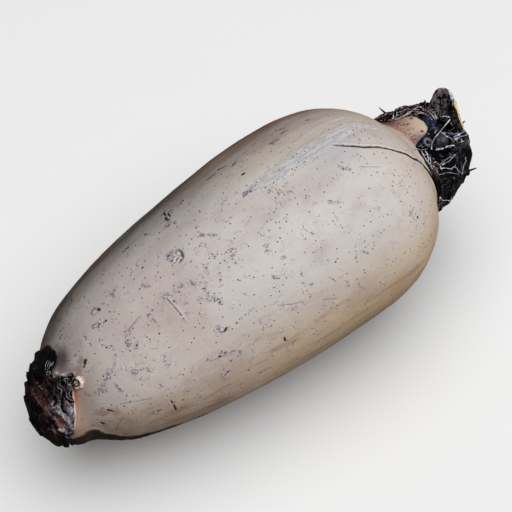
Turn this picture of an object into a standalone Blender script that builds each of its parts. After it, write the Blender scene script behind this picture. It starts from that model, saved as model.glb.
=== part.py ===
"""One segment of a lotus root, lying on its side, in metres with +Z up.

The pale swollen rhizome runs along X, its narrow end at -X. A blackened node closes each end:
the upper node at +X keeps its dried roots and the stub of a leaf stalk, and the lower node at -X
is a wrinkled cap with one broken root beside it. The segment rests on a small flat spot under its
weight, and the centre of that spot is the origin.

A place on the segment is given by its station along the axis, its angle round the axis (0 on top,
90 towards -Y) and its distance from the axis.
"""

import math
import random

import bmesh
import bpy
import numpy as np
from mathutils import Matrix, Vector, noise

MM = 0.001

# Outline of the swollen rhizome: station along the axis and radius, in mm
BODY_OUTLINE = (
    (-72.0, 19.3), (-66.0, 23.2), (-57.0, 26.6), (-44.0, 29.9), (-28.0, 32.7), (-10.0, 35.2),
    (8.0, 36.6), (26.0, 37.0), (38.0, 35.5), (47.0, 31.7), (53.0, 27.3), (58.0, 21.0), (61.5, 18.9),
)
NECK_OUTLINE = ((65.0, 18.0), (70.0, 17.4), (74.0, 16.4), (76.3, 15.2))  # pale neck under the upper node
NECK_END = 76.8
FOOT_OUTLINE = ((-77.5, 14.9), (-82.0, 12.8), (-84.8, 9.6), (-86.4, 5.5))  # skin that runs in under the cap
FOOT_END = -87.0
FLAT_DEPTH = 0.3            # how far the flat spot cuts into the skin
LEAN = 2.2                  # sideways drift of the axis at the neck
LEAN_ANGLE = 123.0
LEAN_STATION = 60.0
BEND = 0.12                 # sideways drift per mm under the lower cap
BEND_ANGLE = 135.0
BEND_STATION = -74.0

BODY_SIDES = 50
BODY_RINGS = 42
RELIEF = 0.45               # height of the body's broad swellings
RELIEF_SPAN = 28.0

FIT_GAP = 0.3               # air between pieces that touch

# Upper node: a dried sleeve round the neck, open on top where the pale neck shows
SLEEVE_OUTLINE = (
    (58.0, 21.2), (62.0, 19.8), (68.0, 19.1), (72.0, 18.4), (75.5, 17.5), (79.0, 16.6), (82.0, 15.4),
    (83.7, 13.2), (84.8, 8.0),
)
SLEEVE_END = 85.2
SLEEVE_EDGE = (
    (-180.0, 60.4), (-120.0, 60.0), (-75.0, 60.0), (-60.0, 61.2), (-45.0, 66.0), (-33.0, 69.6),
    (-18.0, 72.6), (0.0, 71.8), (10.0, 70.4), (15.5, 68.2), (18.0, 64.0), (22.0, 60.6), (32.0, 59.8),
    (70.0, 59.6), (120.0, 60.0), (180.0, 60.4),
)
SLEEVE_SIDES = 72
SLEEVE_LIP = 0.9            # thickness of the sleeve at its edge
FOLDS = 11                  # lengthwise folds round the upper node
FOLD_HEIGHT = 0.65
CREASE_DEPTH = 1.9
HOLLOW = (78.6, 21.0, 1.9)  # the dark dip below the stalk stub: station, angle, depth
FLAT_SIDE = (92.0, 1.3)     # the node's camera side is pressed flatter: angle, depth
ROOT_SCARS = ((65.4, 24.0), (66.0, 66.0), (67.2, 128.0), (66.0, 172.0), (67.0, 216.0), (66.0, 252.0))
ROOT_TIPS = ((62.0, -66.0, 2.6, -0.7), (79.5, 96.0, 1.5, 0.9), (82.0, 36.0, 1.2, 0.2))  # place, reach, lean

# Stub of the leaf stalk: a dried hood, hollow towards the body
STALK_STATION = 80.2
STALK_ANGLE = 2.5
STALK_ROOT = 14.7           # where the stub starts, from the axis
STALK_OUTLINE = ((14.7, 4.9), (20.0, 5.1), (23.0, 4.6), (25.3, 3.4), (26.6, 1.9))  # from the axis, half width
STALK_TIP = 27.4
STALK_FLATNESS = 0.62       # thickness over width
STALK_HOLLOW = 0.8

# Lower cap: torn sleeve over the narrow end
CAP_OUTLINE = (
    (-89.4, 3.6), (-87.6, 8.3), (-84.8, 11.5), (-82.0, 14.2), (-78.0, 16.2), (-74.0, 19.3), (-70.0, 22.0),
)
CAP_TIP = -89.9
CAP_EDGE = (
    (-180.0, -79.0), (-100.0, -78.0), (-60.0, -76.6), (-40.0, -75.2), (-24.0, -73.6), (-9.0, -74.0),
    (-1.0, -76.0), (4.0, -78.4), (11.0, -77.4), (20.0, -74.6), (29.0, -76.6), (48.0, -79.0), (70.0, -82.0),
    (100.0, -84.4), (140.0, -83.2), (180.0, -79.0),
)
CAP_SIDES = 60
CAP_RINGS = 17
CAP_WRINKLE = 0.45
CAP_WRINKLE_PITCH = 2.6

# Broken root beside the lower cap
STUMP_STATION = -73.6
STUMP_ANGLE = 27.0
STUMP_RADIUS = 2.15
STUMP_PROUD = 1.5
STUMP_BORE = 0.9

SEED = 7


def smooth_outline(points):
    """A smooth rising and falling line through the points that never overshoots them."""
    xs = np.array([p[0] for p in points], float)
    ys = np.array([p[1] for p in points], float)
    step = np.diff(xs)
    slope = np.diff(ys) / step
    tangent = np.zeros(len(xs))
    for i in range(1, len(xs) - 1):
        if slope[i - 1] * slope[i] > 0:
            before, after = 2 * step[i] + step[i - 1], step[i] + 2 * step[i - 1]
            tangent[i] = (before + after) / (before / slope[i - 1] + after / slope[i])
    tangent[0], tangent[-1] = slope[0], slope[-1]

    def value(x):
        i = min(max(int(np.searchsorted(xs, x)) - 1, 0), len(step) - 1)
        t = (x - xs[i]) / step[i]
        rise = ys[i] * (1 + 2 * t) * (1 - t) ** 2 + ys[i + 1] * t * t * (3 - 2 * t)
        return rise + step[i] * (tangent[i] * t * (1 - t) ** 2 + tangent[i + 1] * t * t * (t - 1))

    return value


def rhizome_outline():
    return tuple(reversed(FOOT_OUTLINE)) + BODY_OUTLINE + NECK_OUTLINE


body_radius = smooth_outline(rhizome_outline())
cap_outline = smooth_outline(CAP_OUTLINE)
cap_edge = smooth_outline(CAP_EDGE)
sleeve_outline = smooth_outline(SLEEVE_OUTLINE)
sleeve_edge = smooth_outline(SLEEVE_EDGE)
stalk_outline = smooth_outline(STALK_OUTLINE)


def direction(angle):
    """Unit vector away from the axis at this angle, in degrees."""
    a = math.radians(angle)
    return Vector((0.0, -math.sin(a), math.cos(a)))


def axis_at(station):
    """The axis at a station, in mm: it drifts sideways towards the neck, and bends under the lower cap."""
    share = min(max(station / LEAN_STATION, 0.0), 1.0)
    lean = direction(LEAN_ANGLE) * LEAN * share**2
    bend = direction(BEND_ANGLE) * BEND * max(0.0, BEND_STATION - station)
    return Vector((station, 0.0, 0.0)) + lean + bend


def place(station, angle, radius):
    return axis_at(station) + direction(angle) * radius


def ripple(station, angle, span, seed=0.0):
    """Smooth noise from -1 to 1 that closes round the axis."""
    a = math.radians(angle)
    return noise.noise(Vector((station / span + seed, 1.3 * math.cos(a), 1.3 * math.sin(a))))


def new_object(name, bm, collection):
    """A solid from its faces, which are turned to look outwards."""
    bmesh.ops.recalc_face_normals(bm, faces=bm.faces)
    if bm.calc_volume(signed=True) < 0:
        bmesh.ops.reverse_faces(bm, faces=bm.faces)
    mesh = bpy.data.meshes.new(name)
    bm.to_mesh(mesh)
    bm.free()
    obj = bpy.data.objects.new(name, mesh)
    collection.objects.link(obj)
    return obj


def turned_solid(name, stations, radius_at, sides, collection):
    """A closed solid round the axis, pointed at both ends. radius_at(station, angle) is its skin."""
    bm = bmesh.new()
    chain = [bm.verts.new((x, 0.0, 0.0 if x in (stations[0], stations[-1]) else 1.0)) for x in stations]
    edges = [bm.edges.new(pair) for pair in zip(chain, chain[1:])]
    line = chain + edges
    bmesh.ops.spin(bm, geom=line, cent=(0, 0, 0), axis=(1, 0, 0), angle=math.tau, steps=sides, use_merge=True)
    bmesh.ops.remove_doubles(bm, verts=bm.verts, dist=1e-4)
    for v in bm.verts:
        angle = math.degrees(math.atan2(-v.co.y, v.co.z))
        reach = 0.0 if abs(v.co.y) + abs(v.co.z) < 0.5 else radius_at(v.co.x, angle)
        v.co = place(v.co.x, angle, reach)
    return new_object(name, bm, collection)


def rhizome_solid(name, collection, grow=0.0):
    """The pale body with its neck and foot. grow thickens it, to cut a fitting hollow in a neighbour."""
    middle = np.linspace(FOOT_OUTLINE[-1][0], NECK_END, BODY_RINGS)
    stations = [FOOT_END - grow, *middle[:-1], NECK_END + grow]
    stations.insert(-1, NECK_END + 0.5 * grow - 0.4)

    def radius_at(station, angle):
        inside = min(max(station, FOOT_OUTLINE[-1][0]), NECK_END)
        swelling = RELIEF * ripple(station, angle, RELIEF_SPAN) * min(1.0, body_radius(inside) / 30.0)
        return body_radius(inside) + swelling + grow

    return turned_solid(name, stations, radius_at, BODY_SIDES, collection)


def lump(name, centre, along, across, turn, collection, rough=0.5, columns=20, rows=12, seed=0.0):
    """A rounded, folded lump: half length along the axis, half width across it, at a centre in mm."""
    bm = bmesh.new()
    bmesh.ops.create_uvsphere(bm, u_segments=columns, v_segments=rows, radius=1.0)
    spin = Matrix.Rotation(math.radians(turn), 3, "X")
    for v in bm.verts:
        bump = rough * noise.noise(v.co * 2.1 + Vector((seed, 0, 0)))
        shape = Vector((v.co.z * along, v.co.x * across[0], v.co.y * across[1]))
        v.co = centre + spin @ (shape + shape.normalized() * bump)
    return new_object(name, bm, collection)


def strand(name, points, thickness, collection, sides=6):
    """A root of even thickness through points in mm, tapering to its far end."""
    curve = bpy.data.curves.new(name, "CURVE")
    curve.dimensions = "3D"
    curve.bevel_depth = thickness / 2
    curve.bevel_resolution = max(0, sides // 2 - 2)
    curve.use_fill_caps = True
    line = curve.splines.new("POLY")
    line.points.add(len(points) - 1)
    for i, (knot, p) in enumerate(zip(line.points, points)):
        knot.co = (*p, 1.0)
        knot.radius = 1.0 - 0.35 * i / (len(points) - 1)
    holder = bpy.data.objects.new(name, curve)
    collection.objects.link(holder)
    bpy.context.view_layer.update()
    mesh = bpy.data.meshes.new_from_object(holder.evaluated_get(bpy.context.evaluated_depsgraph_get()))
    bpy.data.objects.remove(holder)
    bm = bmesh.new()
    bm.from_mesh(mesh)
    bmesh.ops.remove_doubles(bm, verts=bm.verts, dist=1e-4)
    return new_object(name, bm, collection)


def combine(base, others, operation, solver="EXACT"):
    """Applies one Boolean of base with all the other solids, and removes them."""
    group = bpy.data.collections.new("tools")
    bpy.context.scene.collection.children.link(group)
    for other in others:
        for holder in list(other.users_collection):
            holder.objects.unlink(other)
        group.objects.link(other)
    step = base.modifiers.new("combine", "BOOLEAN")
    step.operation = operation
    step.solver = solver
    step.operand_type = "COLLECTION"
    step.collection = group
    bpy.context.view_layer.update()
    mesh = bpy.data.meshes.new_from_object(base.evaluated_get(bpy.context.evaluated_depsgraph_get()))
    base.modifiers.clear()
    base.data = mesh
    for other in others:
        bpy.data.objects.remove(other)
    bpy.data.collections.remove(group)


def keep_whole_piece(obj):
    """Keeps the one large skin of a solid: loose crumbs go, and closed pockets inside it are filled."""
    bm = bmesh.new()
    bm.from_mesh(obj.data)
    bmesh.ops.remove_doubles(bm, verts=bm.verts, dist=1e-4)
    bm.faces.index_update()
    left = set(bm.faces)
    shells = []
    while left:
        first = left.pop()
        shell, edge_of_search = [first], [first]
        while edge_of_search:
            face = edge_of_search.pop()
            for edge in face.edges:
                for other in edge.link_faces:
                    if other in left:
                        left.discard(other)
                        shell.append(other)
                        edge_of_search.append(other)
        shells.append(shell)
    shells.sort(key=lambda shell: sum(f.calc_area() for f in shell))
    spare = [f for shell in shells[:-1] for f in shell]
    bmesh.ops.delete(bm, geom=spare, context="FACES")
    bmesh.ops.delete(bm, geom=[v for v in bm.verts if not v.link_faces], context="VERTS")
    bm.to_mesh(obj.data)
    bm.free()


def stalk_solid(name, collection, grow=0.0):
    """The dried stub of a leaf stalk: a rounded hood, its hollow side towards the body."""
    heights = [STALK_ROOT - grow, 17.5, 20.0, 22.0, 23.8, 25.2, 26.2, 26.9, STALK_TIP + grow]
    bm = bmesh.new()
    chain = [bm.verts.new((0.0 if h == heights[-1] else 1.0, 0.0, h)) for h in heights]
    chain.insert(0, bm.verts.new((0.0, 0.0, heights[0])))
    edges = [bm.edges.new(pair) for pair in zip(chain, chain[1:])]
    line = chain + edges
    bmesh.ops.spin(bm, geom=line, cent=(0, 0, 0), axis=(0, 0, 1), angle=math.tau, steps=24, use_merge=True)
    bmesh.ops.remove_doubles(bm, verts=bm.verts, dist=1e-4)
    across = direction(STALK_ANGLE + 90.0)
    for v in bm.verts:
        turn = math.atan2(v.co.y, v.co.x)
        out = math.hypot(v.co.x, v.co.y)
        rise = v.co.z
        width = stalk_outline(min(rise, STALK_OUTLINE[-1][0])) + grow
        width *= 1.0 + 0.07 * math.sin(5 * turn + 0.4 * rise) + 0.04 * math.sin(9 * turn)
        depth = width * STALK_FLATNESS
        sideways, along = out * width * math.cos(turn), out * depth * math.sin(turn)
        if along < 0 and grow == 0.0:
            open_up = min(1.0, max(0.0, (rise - 18.5) / 3.0))
            middle = math.exp(-((sideways / (0.62 * width)) ** 2))
            along += STALK_HOLLOW * open_up * depth * out * middle * 1.55
        v.co = place(STALK_STATION, STALK_ANGLE, rise) + across * sideways + Vector((along, 0, 0))
    return new_object(name, bm, collection)


def wrap(angle):
    """The same angle between -180 and 180."""
    return (angle + 180.0) % 360.0 - 180.0


def smooth_step(t):
    t = min(max(t, 0.0), 1.0)
    return t * t * (3.0 - 2.0 * t)


def sleeve_relief(station, angle):
    """Folds, sharp creases and the dip in the skin of the upper node."""
    twist = 3.2 * ripple(station, angle, 8.0, 3.0)
    folds = FOLD_HEIGHT * math.sin(math.radians(angle) * FOLDS + twist)
    creases = -CREASE_DEPTH * max(0.0, 0.22 - abs(ripple(station, 1.6 * angle, 6.0, 9.0))) / 0.22 * 0.5
    dip = HOLLOW[2] * math.exp(-(((station - HOLLOW[0]) / 2.4) ** 2) - ((angle - HOLLOW[1]) / 11.0) ** 2)
    side = FLAT_SIDE[1] * math.exp(-(((angle - FLAT_SIDE[0]) / 30.0) ** 2))
    return folds + creases - dip - side * smooth_step((station - 66.0) / 9.0)


def sleeve_radius(station, angle):
    """Skin of the upper node, thin at its torn edge."""
    angle = wrap(angle)
    closing = min(1.0, (SLEEVE_END - station) / 4.0)
    full = sleeve_outline(min(station, SLEEVE_OUTLINE[-1][0])) + closing * sleeve_relief(station, angle)
    if station > NECK_END:
        return full
    lip = body_radius(station) + FIT_GAP + SLEEVE_LIP
    return max(lip, lip + (full - lip) * smooth_step((station - sleeve_edge(angle)) / 2.6))


def sleeve_solid(name, collection):
    """The upper node's dried sleeve, from its torn edge to the blunt far end."""
    shares = [-0.1, 0.0, 0.03, 0.08, 0.15, 0.24, 0.34, 0.45, 0.56, 0.67, 0.77, 0.86, 0.92, 0.96, 0.985, 1.0]
    sleeve = turned_solid(name, shares, lambda share, angle: 1.0, SLEEVE_SIDES, collection)
    for v in sleeve.data.vertices:
        share = v.co.x
        turned = v.co - axis_at(share)
        if turned.yz.length < 0.1:
            v.co = place(68.0 if share < 0.5 else SLEEVE_END, 0.0, 0.0)
            continue
        angle = math.degrees(math.atan2(-turned.y, turned.z))
        station = sleeve_edge(angle) + (SLEEVE_END - sleeve_edge(angle)) * share
        v.co = place(station, angle, sleeve_radius(station, angle))
    return sleeve


def node_lumps(collection):
    """The bud, and the ring of root scars round the upper node."""
    made = [lump("bud", place(69.7, 30.5, 17.7), 2.6, (2.5, 2.6), 30.5, collection, 0.2, 16, 10, 2.0)]
    for i, (station, angle) in enumerate(ROOT_SCARS):
        bm = bmesh.new()
        turn = Vector((0, 0, 1)).rotation_difference(direction(angle)).to_matrix().to_4x4()
        bmesh.ops.create_cone(bm, cap_ends=True, segments=14, radius1=2.4, radius2=1.7, depth=3.6)
        top = max(bm.faces, key=lambda f: f.calc_center_median().z)
        bmesh.ops.inset_individual(bm, faces=[top], thickness=0.7)
        bmesh.ops.translate(bm, verts=top.verts, vec=(0, 0, -1.2))
        centre = place(station, angle, sleeve_radius(station, angle) - 1.0)
        bmesh.ops.transform(bm, matrix=Matrix.Translation(centre) @ turn, verts=bm.verts)
        made.append(new_object(f"root_scar_{i}", bm, collection))
    return made


def node_roots(collection):
    """Dried roots: a combed mat on the far side of the neck, and single roots that cross the node."""
    rng = random.Random(SEED)
    made = []
    for i in range(13):
        angle = -116.0 + 5.2 * i + rng.uniform(-2, 2)
        start = 80.0 + rng.uniform(-2.0, 2.0)
        end = max(60.8, sleeve_edge(angle)) + rng.uniform(0.2, 1.5)
        drift = rng.uniform(-8, 8)
        path = []
        for k in range(8):
            t = k / 7
            station, a = start + (end - start) * t, angle + drift * t
            lift = 0.25 + 0.35 * math.sin(7 * t + i)
            path.append(place(station, a, sleeve_radius(station, a) + lift))
        made.append(strand(f"mat_root_{i}", path, rng.uniform(1.2, 1.8), collection))
    for i in range(15):
        angle = rng.uniform(0, 360)
        station = rng.uniform(70, 79)
        heading = rng.uniform(-1, 1)
        path = []
        for k in range(7):
            t = k / 6
            a, s = angle + 50 * (t - 0.5), station + 9 * heading * (t - 0.5)
            path.append(place(s, a, sleeve_radius(s, a) + 0.2 + 0.4 * math.sin(5 * t + i)))
        made.append(strand(f"cross_root_{i}", path, rng.uniform(0.9, 1.3), collection))
    for i, (station, angle, reach, lean) in enumerate(ROOT_TIPS):
        foot = place(station, angle, sleeve_radius(station, angle) - 1.0)
        tip = direction(angle) * (1.0 + reach) + Vector((lean * reach, 0, 0))
        made.append(strand(f"root_tip_{i}", [foot, foot + tip * 0.5, foot + tip], 0.9, collection))
    return made


def cap_radius(station, angle):
    """Skin of the lower cap: wrinkled round the axis, thin at its torn edge."""
    angle = wrap(angle)
    wave = math.tau * station / CAP_WRINKLE_PITCH + 3.4 * ripple(station, angle, 6.0, 5.0)
    relief = CAP_WRINKLE * math.sin(wave) + 0.6 * ripple(station, angle, 5.0, 2.0)
    fade = min(1.0, (station - CAP_TIP) / 3.0)
    full = cap_outline(max(station, CAP_OUTLINE[0][0])) + fade * relief
    if station < FOOT_OUTLINE[-1][0]:
        return full
    return max(full, body_radius(station) + FIT_GAP + 0.85)


def cap_solid(name, collection):
    """The wrinkled black cap over the lower end, its edge torn."""
    steps = list(np.linspace(0.0, 1.0, CAP_RINGS))
    cap = turned_solid(name, [*steps, 1.1], lambda share, angle: 1.0, CAP_SIDES, collection)
    for v in cap.data.vertices:
        share = v.co.x
        turned = v.co - axis_at(share)
        if turned.yz.length < 0.1:
            v.co = place(CAP_TIP if share < 0.5 else -81.0, 0.0, 0.0)
            continue
        angle = math.degrees(math.atan2(-turned.y, turned.z))
        station = CAP_TIP + (cap_edge(angle) - CAP_TIP) * min(share, 1.0) ** 1.25
        v.co = place(station, angle, cap_radius(station, angle))
    return cap


def skin_normal(station, angle):
    """Outward direction of the skin at a place, allowing for the taper."""
    slope = (body_radius(station + 0.5) - body_radius(station - 0.5)) / 1.0
    return (direction(angle) - Vector((slope, 0, 0))).normalized()


def stump_solid(name, collection, grow=0.0, bored=True):
    """The broken root: a short flared pipe that stands on the skin."""
    up = skin_normal(STUMP_STATION, STUMP_ANGLE)
    turn = Vector((0, 0, 1)).rotation_difference(up).to_matrix().to_4x4()
    surface = place(STUMP_STATION, STUMP_ANGLE, body_radius(STUMP_STATION))
    bm = bmesh.new()
    depth = STUMP_PROUD + 2.5
    foot, head = STUMP_RADIUS * 1.08 + grow, STUMP_RADIUS * 0.92 + grow
    tall = depth + 2 * grow
    bmesh.ops.create_cone(bm, cap_ends=True, segments=20, radius1=foot, radius2=head, depth=tall)
    if bored:
        top = max(bm.faces, key=lambda f: f.calc_center_median().z)
        bmesh.ops.inset_individual(bm, faces=[top], thickness=STUMP_RADIUS - STUMP_BORE)
        bmesh.ops.translate(bm, verts=top.verts, vec=(0, 0, -0.7))
    middle = Matrix.Translation(surface + up * (STUMP_PROUD - depth / 2))
    bmesh.ops.transform(bm, matrix=middle @ turn, verts=bm.verts)
    return new_object(name, bm, collection)


def balance_station():
    """The station of the centre of the body's volume."""
    stations = np.linspace(FOOT_OUTLINE[-1][0], NECK_END, 400)
    weights = np.array([body_radius(s) ** 2 for s in stations])
    return float((stations * weights).sum() / weights.sum())


def resting_matrix():
    """Tips the segment until its lowest line is level under its weight, with that point at the origin."""
    station = balance_station()
    slope = (body_radius(station + 1.0) - body_radius(station - 1.0)) / 2.0
    tip = Matrix.Rotation(-math.atan(slope), 4, "Y")
    touch = tip @ place(station, 180.0, body_radius(station))
    return Matrix.Scale(MM, 4) @ Matrix.Translation((-touch.x, -touch.y, -touch.z - FLAT_DEPTH)) @ tip


def flatten_under(obj):
    """Cuts the small flat spot that the segment rests on."""
    bm = bmesh.new()
    bm.from_mesh(obj.data)
    geometry = bm.verts[:] + bm.edges[:] + bm.faces[:]
    spot, down = (0, 0, 0), (0, 0, -1)
    cut = bmesh.ops.bisect_plane(bm, geom=geometry, plane_co=spot, plane_no=down, clear_outer=True, dist=1e-7)
    rim = [e for e in cut["geom_cut"] if isinstance(e, bmesh.types.BMEdge)]
    bmesh.ops.holes_fill(bm, edges=rim)
    bmesh.ops.recalc_face_normals(bm, faces=bm.faces)
    bm.to_mesh(obj.data)
    bm.free()


def plain_material(name, colour, roughness):
    material = bpy.data.materials.new(name)
    material.use_nodes = True
    shader = material.node_tree.nodes["Principled BSDF"]
    shader.inputs["Base Color"].default_value = (*colour, 1.0)
    shader.inputs["Roughness"].default_value = roughness
    shader.inputs["Metallic"].default_value = 0.0
    return material


def finish(obj, material):
    obj.data.materials.clear()
    obj.data.materials.append(material)
    obj.data.shade_smooth()
    obj.data.set_sharp_from_angle(angle=math.radians(40))


def main():
    for obj in list(bpy.data.objects):
        bpy.data.objects.remove(obj, do_unlink=True)
    root = bpy.data.collections.new("lotus_root")
    bpy.context.scene.collection.children.link(root)

    rhizome = rhizome_solid("rhizome", root)

    upper = sleeve_solid("upper_node", root)
    combine(upper, [*node_lumps(root), *node_roots(root)], "UNION")
    neck, stub = rhizome_solid("neck_form", root, FIT_GAP), stalk_solid("stalk_form", root, FIT_GAP)
    combine(upper, [neck, stub], "DIFFERENCE")
    stalk = stalk_solid("leaf_stalk_stub", root)

    lower = cap_solid("lower_node", root)
    foot, hole = rhizome_solid("foot_form", root, FIT_GAP), stump_solid("stump_form", root, FIT_GAP, False)
    combine(lower, [foot, hole], "DIFFERENCE")
    stump = stump_solid("root_stump", root)
    combine(stump, [rhizome_solid("seat_form", root, FIT_GAP)], "DIFFERENCE")
    for obj in (upper, lower, stump):
        keep_whole_piece(obj)

    resting = resting_matrix()
    for obj in (rhizome, upper, stalk, lower, stump):
        obj.data.transform(resting)
    flatten_under(rhizome)

    finish(rhizome, plain_material("lotus_skin", (0.60, 0.55, 0.50), 0.45))
    finish(upper, plain_material("dried_node", (0.03, 0.026, 0.026), 0.6))
    finish(stalk, plain_material("dried_stalk", (0.05, 0.045, 0.05), 0.6))
    finish(lower, plain_material("dried_cap", (0.035, 0.028, 0.026), 0.6))
    finish(stump, plain_material("root_scar", (0.55, 0.45, 0.38), 0.6))


main()
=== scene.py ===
import math
import random

import bmesh
import bpy
import numpy as np
from mathutils import Matrix, Vector, noise


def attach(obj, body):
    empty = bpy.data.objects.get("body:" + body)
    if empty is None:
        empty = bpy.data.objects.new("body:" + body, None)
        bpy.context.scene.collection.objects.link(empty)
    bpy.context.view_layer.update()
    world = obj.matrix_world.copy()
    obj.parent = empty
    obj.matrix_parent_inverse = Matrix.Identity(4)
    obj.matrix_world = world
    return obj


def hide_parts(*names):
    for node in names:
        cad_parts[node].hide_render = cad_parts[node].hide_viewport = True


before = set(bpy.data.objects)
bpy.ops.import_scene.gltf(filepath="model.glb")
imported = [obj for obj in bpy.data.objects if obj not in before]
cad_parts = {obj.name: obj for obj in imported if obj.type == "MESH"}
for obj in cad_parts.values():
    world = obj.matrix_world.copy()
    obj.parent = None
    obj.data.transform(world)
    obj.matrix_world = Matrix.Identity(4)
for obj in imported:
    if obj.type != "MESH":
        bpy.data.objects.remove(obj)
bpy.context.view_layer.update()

# Places are given as station along the axis in mm, angle round it in degrees (0 on top, 90 towards
# the camera side) and distance from the axis in mm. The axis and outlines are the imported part's own.
segment = {
    "foot": ((-86.4, 5.5), (-84.8, 9.6), (-82.0, 12.8), (-77.5, 14.9)),
    "body": ((-72.0, 19.3), (-66.0, 23.2), (-57.0, 26.6), (-44.0, 29.9), (-28.0, 32.7), (-10.0, 35.2),
             (8.0, 36.6), (26.0, 37.0), (38.0, 35.5), (47.0, 31.7), (53.0, 27.3), (58.0, 21.0), (61.5, 18.9)),
    "neck": ((65.0, 18.0), (70.0, 17.4), (74.0, 16.4), (76.3, 15.2)),
    "footEnd": -87.0,
    "neckEnd": 76.8,
    "lean": (2.2, 123.0, 60.0),       # drift of the axis, its angle, and the station where it is reached
    "bend": (0.12, 135.0, -74.0),     # drift per mm under the lower cap
    "swelling": (0.45, 28.0),         # height and span of the broad swellings
    "flatDepth": 0.3,
    "lip": 1.2,                       # skin of the dried sleeves above the root, at their edges
}


def smoothOutline(points):
    # a smooth line through the points that never overshoots them
    xs, ys = (np.array(column, float) for column in zip(*points))
    step = np.diff(xs)
    slope = np.diff(ys) / step
    tangent = np.zeros(len(xs))
    for i in range(1, len(xs) - 1):
        if slope[i - 1] * slope[i] > 0:
            before, after = 2 * step[i] + step[i - 1], step[i] + 2 * step[i - 1]
            tangent[i] = (before + after) / (before / slope[i - 1] + after / slope[i])
    tangent[0], tangent[-1] = slope[0], slope[-1]

    def value(x):
        i = np.clip(np.searchsorted(xs, x) - 1, 0, len(step) - 1)
        t = (x - xs[i]) / step[i]
        rise = ys[i] * (1 + 2 * t) * (1 - t) ** 2 + ys[i + 1] * t * t * (3 - 2 * t)
        return rise + step[i] * (tangent[i] * t * (1 - t) ** 2 + tangent[i + 1] * t * t * (t - 1))

    return value


rootOutline = smoothOutline(segment["foot"] + segment["body"] + segment["neck"])


def bodyRadius(station):
    return rootOutline(np.clip(station, segment["foot"][0][0], segment["neckEnd"]))


def wrap(angle):
    return (angle + 180.0) % 360.0 - 180.0


def smoothStep(t):
    t = np.clip(t, 0.0, 1.0)
    return t * t * (3.0 - 2.0 * t)


def between(x, low, rise, high, fall):
    # rises from 0 at low and falls back to 0 at high, each over its own distance
    return smoothStep((x - low) / rise) * smoothStep((high - x) / fall)


def bell(x):
    return np.exp(-(x * x))


def places(station, angle, radius):
    # points in segment coordinates, in mm, for numbers or whole arrays
    station, angle, radius = np.broadcast_arrays(
        np.asarray(station, float), np.asarray(angle, float), np.asarray(radius, float))
    lean, leanAngle, leanStation = segment["lean"]
    bend, bendAngle, bendStation = segment["bend"]
    drift = lean * np.clip(station / leanStation, 0, 1) ** 2
    hook = bend * np.maximum(0.0, bendStation - station)
    a, la, ba = np.radians(angle), math.radians(leanAngle), math.radians(bendAngle)
    y = -np.sin(a) * radius - math.sin(la) * drift - math.sin(ba) * hook
    z = np.cos(a) * radius + math.cos(la) * drift + math.cos(ba) * hook
    return np.stack([station, y, z], axis=-1)


def ripple(station, angle, span, seed=0.0, around=1.3):
    # smooth noise from -1 to 1 that closes round the axis
    station, angle = np.broadcast_arrays(np.asarray(station, float), np.asarray(angle, float))
    a = np.radians(angle)
    spots = np.stack([station / span + seed, around * np.cos(a), around * np.sin(a)], axis=-1)
    return np.array([noise.noise(spot) for spot in spots.reshape(-1, 3).tolist()]).reshape(station.shape)


def grain(points, size, seed=0.0):
    # smooth noise in space, for points in mm
    spots = np.asarray(points) / size + np.array((seed, 0.37 * seed, 1.7 * seed))
    return np.array([noise.noise(spot) for spot in spots.reshape(-1, 3).tolist()]).reshape(spots.shape[:-1])


def restingMatrix():
    # tips the segment until its lowest line is level under its weight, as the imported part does
    stations = np.linspace(segment["foot"][0][0], segment["neckEnd"], 400)
    weights = rootOutline(stations) ** 2
    station = float((stations * weights).sum() / weights.sum())
    slope = float(rootOutline(station + 1.0) - rootOutline(station - 1.0)) / 2.0
    tip = Matrix.Rotation(-math.atan(slope), 4, "Y")
    touch = tip @ Vector(places(station, 180.0, rootOutline(station)))
    down = Matrix.Translation((-touch.x, -touch.y, -touch.z - segment["flatDepth"]))
    return Matrix.Scale(0.001, 4) @ down @ tip


resting = restingMatrix()


def tube(shares, sides):
    # a unit tube along X, closed to a point at both ends
    bm = bmesh.new()
    ends = (shares[0], shares[-1])
    chain = [bm.verts.new((x, 0.0, 0.0 if x in ends else 1.0)) for x in shares]
    line = chain + [bm.edges.new(pair) for pair in zip(chain, chain[1:])]
    bmesh.ops.spin(bm, geom=line, cent=(0, 0, 0), axis=(1, 0, 0), angle=math.tau, steps=sides, use_merge=True)
    bmesh.ops.remove_doubles(bm, verts=bm.verts, dist=1e-4)
    return bm


def tubeSpots(bm):
    # share along the tube and angle round it of every vertex, and which of them are the two end points
    co = np.array([v.co for v in bm.verts])
    return co[:, 0], np.degrees(np.arctan2(-co[:, 1], co[:, 2])), np.hypot(co[:, 1], co[:, 2]) < 0.2


def pieceFrom(bm, name, points, material, node=None):
    # points in segment coordinates take the place of the bmesh's own
    for v, p in zip(bm.verts, points):
        v.co = resting @ Vector(p)
    return addPiece(bm, name, material, node)


def addPiece(bm, name, material, node=None):
    # the mesh as an object of the part, its faces turned outwards
    bmesh.ops.recalc_face_normals(bm, faces=bm.faces)
    if bm.calc_volume(signed=True) < 0:
        bmesh.ops.reverse_faces(bm, faces=bm.faces)
    mesh = bpy.data.meshes.new(name)
    bm.to_mesh(mesh)
    bm.free()
    mesh.shade_smooth()
    mesh.materials.append(material)
    piece = bpy.data.objects.new(name, mesh)
    bpy.context.scene.collection.objects.link(piece)
    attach(piece, "root")
    if node:
        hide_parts(node)
    return piece


def layer(piece, name, *columns):
    # up to three numbers for each vertex, which the material reads
    columns += (np.zeros_like(columns[0]),) * (3 - len(columns))
    values = np.stack(columns, axis=-1).astype(np.float32)
    piece.data.attributes.new(name, "FLOAT_VECTOR", "POINT").data.foreach_set("vector", values.ravel())


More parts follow.
